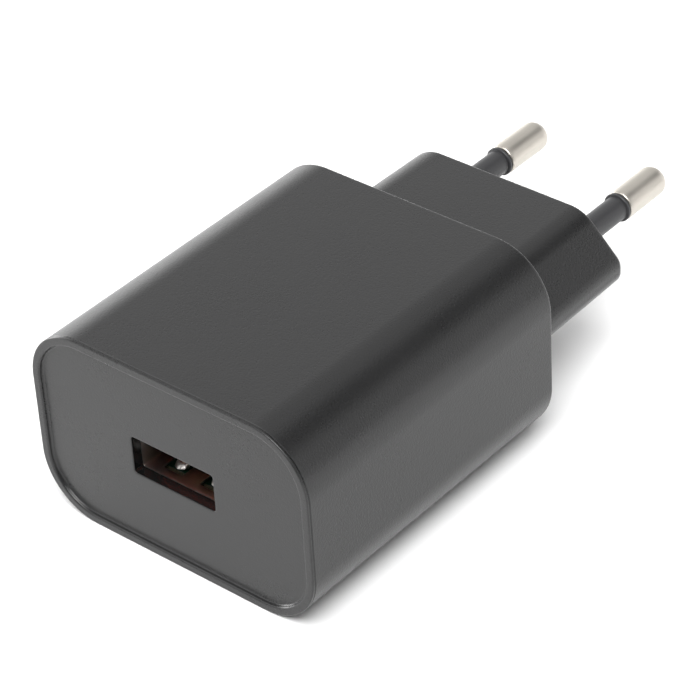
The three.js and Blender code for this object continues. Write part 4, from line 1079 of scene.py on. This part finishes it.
def diode():
    low, high = box_mm("output_diode")
    x, y = low.x + 1.8, (low.y + high.y) / 2
    top = SEAT + 8.0
    mesh_builder = bmesh.new()
    profile = [(0, SEAT + 1.0), (1.5, SEAT + 1.0), (1.79, SEAT + 1.4), (1.79, top - 0.4), (1.5, top),
               (0, top)]
    turned(mesh_builder, soften(profile, 0.3, 4), (x, y, 0.0))
    turned(mesh_builder, [(0, SEAT), (0.3, SEAT), (0.3, SEAT + 1.05), (0, SEAT + 1.05)], (x, y, 0.0),
           steps=16)
    loop = [(x, top - 0.1), (x, top + 0.5), (x + 0.35, top + 1.1), (x + 1.0, top + 1.28),
            (x + 2.2, top + 1.28)]
    loop += [(x + 2.85, top + 1.1), (x + 3.2, top + 0.5), (x + 3.2, top - 2.0), (x + 3.2, SEAT + 0.02)]
    steps, rings = 14, []
    line = smooth_line(loop, 5)
    for index, (u, v) in enumerate(line):
        before, after = line[max(index - 1, 0)], line[min(index + 1, len(line) - 1)]
        along = Vector((after[0] - before[0], after[1] - before[1])).normalized()
        rings.append([mesh_builder.verts.new((
            u - along.y * 0.29 * math.cos(2 * math.pi * step / steps),
            y + 0.29 * math.sin(2 * math.pi * step / steps),
            v + along.x * 0.29 * math.cos(2 * math.pi * step / steps))) for step in range(steps)])
    bridge_all(mesh_builder, rings)
    mesh_builder.faces.new(rings[0])
    mesh_builder.faces.new(list(reversed(rings[-1])))
    look = coated("diode_epoxy", (0.018, 0.018, 0.019), 0.42)
    body = look.within((x - 1.85, y - 1.85, SEAT + 0.98), (x + 1.85, y + 1.85, top + 0.02))
    band = look.math("MULTIPLY", body, look.between("Z", top - 1.7, top - 0.8))
    colour = look.shader.inputs["Base Color"].links[0].from_socket
    look.feed("Base Color", look.mixed(band, colour, (0.55, 0.55, 0.56)))
    material = with_metal(look, look.math("SUBTRACT", 1.0, body))
    stand_for(new_object("output_diode_body", mesh_builder), BODY, "black_epoxy", material, "output_diode")


def packages():
    """The moulded packages; each body's box separates black or white resin from tinned feet."""
    low, high = box_mm("power_transistor")
    look = packaged("transistor_epoxy", (0.018, 0.018, 0.019), 0.5, (low.x - 1, low.y - 1, SEAT + 2.15),
                    high + Vector((1, 1, 1)))
    refined_copy("power_transistor", "power_transistor_body", 0.10, "black_epoxy", look, sharp_degrees=40.0)
    low, high = box_mm("optocoupler")
    look = packaged("optocoupler_epoxy", (0.62, 0.60, 0.52), 0.45, (low.x + 0.54, low.y - 1, SEAT + 0.4),
                    (high.x - 0.54, high.y + 1, high.z + 1))
    refined_copy("optocoupler", "optocoupler_body", 0.08, "opto_white", look)
    for node, name, colour in (("bridge_rectifier", "bridge_epoxy", 0.020),
                               ("controller_ic", "controller_epoxy", 0.016)):
        low, high = box_mm(node)
        look = packaged(name, (colour, colour, colour * 1.05), 0.48, (low.x - 1, low.y + 0.89, low.z - 1),
                        (high.x + 1, high.y - 0.89, high.z + 1))
        refined_copy(node, node + "_body", 0.06, "black_epoxy", look)


def board_and_components():
    board = board_material(BOARD_LOW.z, BOARD_HIGH.z)
    refined_copy("main_board", "main_board_panel", 0.05, "board", board, segments=1)
    for index in (1, 2):
        capacitor(f"input_capacitor_{index}", ("capacitor_black", (0.022, 0.024, 0.030)))
        capacitor(f"output_capacitor_{index}", ("capacitor_blue", (0.022, 0.045, 0.22)))
    transformer()
    choke()
    resistor()
    disc_capacitor()
    diode()
    packages()
    for side_name in ("left", "right"):
        refined_copy("contact_spring_" + side_name, "mains_spring_" + side_name, 0.08, "tinned_metal", TINNED)


# ---------------------------------------------------------------- stage

CAMERA_AZIMUTH = 41.523
CAMERA_ELEVATION = 36.061
CAMERA_ROLL = 3.471
CAMERA_TARGET = Vector((2.934, -12.595, 15.095)) * MM
CAMERA_DISTANCE = 360.0 * MM
CAMERA_LENS = 157.378


def camera():
    data = bpy.data.cameras.new("camera")
    data.lens = CAMERA_LENS
    data.sensor_width = 36.0
    data.clip_start, data.clip_end = 0.01, 20.0
    lens_end = bpy.data.objects.new("camera", data)
    bpy.context.scene.collection.objects.link(lens_end)
    azimuth, elevation = math.radians(CAMERA_AZIMUTH), math.radians(CAMERA_ELEVATION)
    back = Vector((math.sin(azimuth) * math.cos(elevation), -math.cos(azimuth) * math.cos(elevation),
                   math.sin(elevation)))
    lens_end.location = CAMERA_TARGET + back * CAMERA_DISTANCE
    upright = (-back).to_track_quat("-Z", "Y").to_matrix()
    lens_end.rotation_euler = (upright @ Matrix.Rotation(math.radians(-CAMERA_ROLL), 3, "Z")).to_euler()
    bpy.context.scene.camera = lens_end


def floor():
    mesh_builder = bmesh.new()
    bmesh.ops.create_grid(mesh_builder, x_segments=8, y_segments=8, size=3000.0)
    look = Look("floor_paper", Specular_IOR_Level=0.2)
    cloud = look.noise(6.0, detail=2.0)
    look.feed("Base Color", look.ramp(cloud, (0.3, (0.90, 0.90, 0.90)), (0.7, (0.92, 0.92, 0.92))))
    look.feed("Roughness", look.spread(cloud, 0.7, 0.8))
    ground = new_object("floor", mesh_builder, weighted=False)
    ground.data.materials.append(look.material)


# The studio dome: feathered discs of sky, each by its azimuth from +Y towards +X, elevation and reach in
# degrees, and its radiance.
DOME_LAMPS = (
    (140, 60, 24, 10.8),
    (260, 2, 24, 11.0),
    (285, 2, 34, 1.5),
    (310, 2, 46, 0.3),
    (222, 37, 26, 2.0),
    (0, 90, 30, 1.0),
    (30, 12, 24, 0.6),
    (160, 75, 24, 0.7),
)
DOME_REAR_FILL = 0.70
DOME_FRONT_FILL = 0.10
# A black card that takes this share of the light out of one patch of the rear sky.
DOME_CARD = (27, 44, 22, 1.0)


class Dome:
    """The world's shader: radiance as a sum of feathered discs over the direction looked in."""

    def __init__(self, tree):
        self.tree = tree
        self.direction = tree.nodes.new("ShaderNodeTexCoord").outputs["Generated"]

    def math(self, operation, first, second):
        node = self.tree.nodes.new("ShaderNodeMath")
        node.operation = operation
        for socket, value in zip(node.inputs, (first, second)):
            if isinstance(value, bpy.types.NodeSocket):
                self.tree.links.new(value, socket)
            else:
                socket.default_value = value
        return node.outputs["Value"]

    def facing(self, azimuth, elevation):
        """The cosine of the angle from one direction of the sky."""
        turn, tilt = math.radians(azimuth), math.radians(elevation)
        node = self.tree.nodes.new("ShaderNodeVectorMath")
        node.operation = "DOT_PRODUCT"
        node.inputs[1].default_value = (
            math.sin(turn) * math.cos(tilt), math.cos(turn) * math.cos(tilt), math.sin(tilt))
        self.tree.links.new(self.direction, node.inputs[0])
        return node.outputs["Value"]

    def feathered(self, value, start, end, low, high):
        node = self.tree.nodes.new("ShaderNodeMapRange")
        node.interpolation_type = "SMOOTHSTEP"
        for name, number in (("From Min", start), ("From Max", end), ("To Min", low), ("To Max", high)):
            node.inputs[name].default_value = number
        self.tree.links.new(value, node.inputs["Value"])
        return node.outputs["Result"]

    def disc(self, azimuth, elevation, reach, radiance, core=0.4):
        cosine = self.facing(azimuth, elevation)
        edge, full = math.cos(math.radians(reach)), math.cos(math.radians(reach * core))
        return self.feathered(cosine, edge, full, 0.0, radiance)


def lighting():
    world = bpy.data.worlds.new("studio")
    world.use_nodes = True
    dome = Dome(world.node_tree)
    total = dome.feathered(dome.facing(0, 0), -0.1, 0.4, DOME_FRONT_FILL, DOME_REAR_FILL)
    total = dome.math("MULTIPLY", total, dome.math("SUBTRACT", 1.0, dome.disc(*DOME_CARD, core=0.3)))
    for lamp in DOME_LAMPS:
        total = dome.math("ADD", total, dome.disc(*lamp))
    background = world.node_tree.nodes["Background"]
    background.inputs["Color"].default_value = (1.0, 1.0, 1.0, 1.0)
    world.node_tree.links.new(total, background.inputs["Strength"])
    bpy.context.scene.world = world
    bpy.context.scene.view_settings.view_transform = "Standard"


# ---------------------------------------------------------------- build

camera()
floor()
lighting()
housing()
front_cap()
for side_name in ("left", "right"):
    pin(side_name)
    pin_sleeve(side_name)

usb_port()
board_and_components()
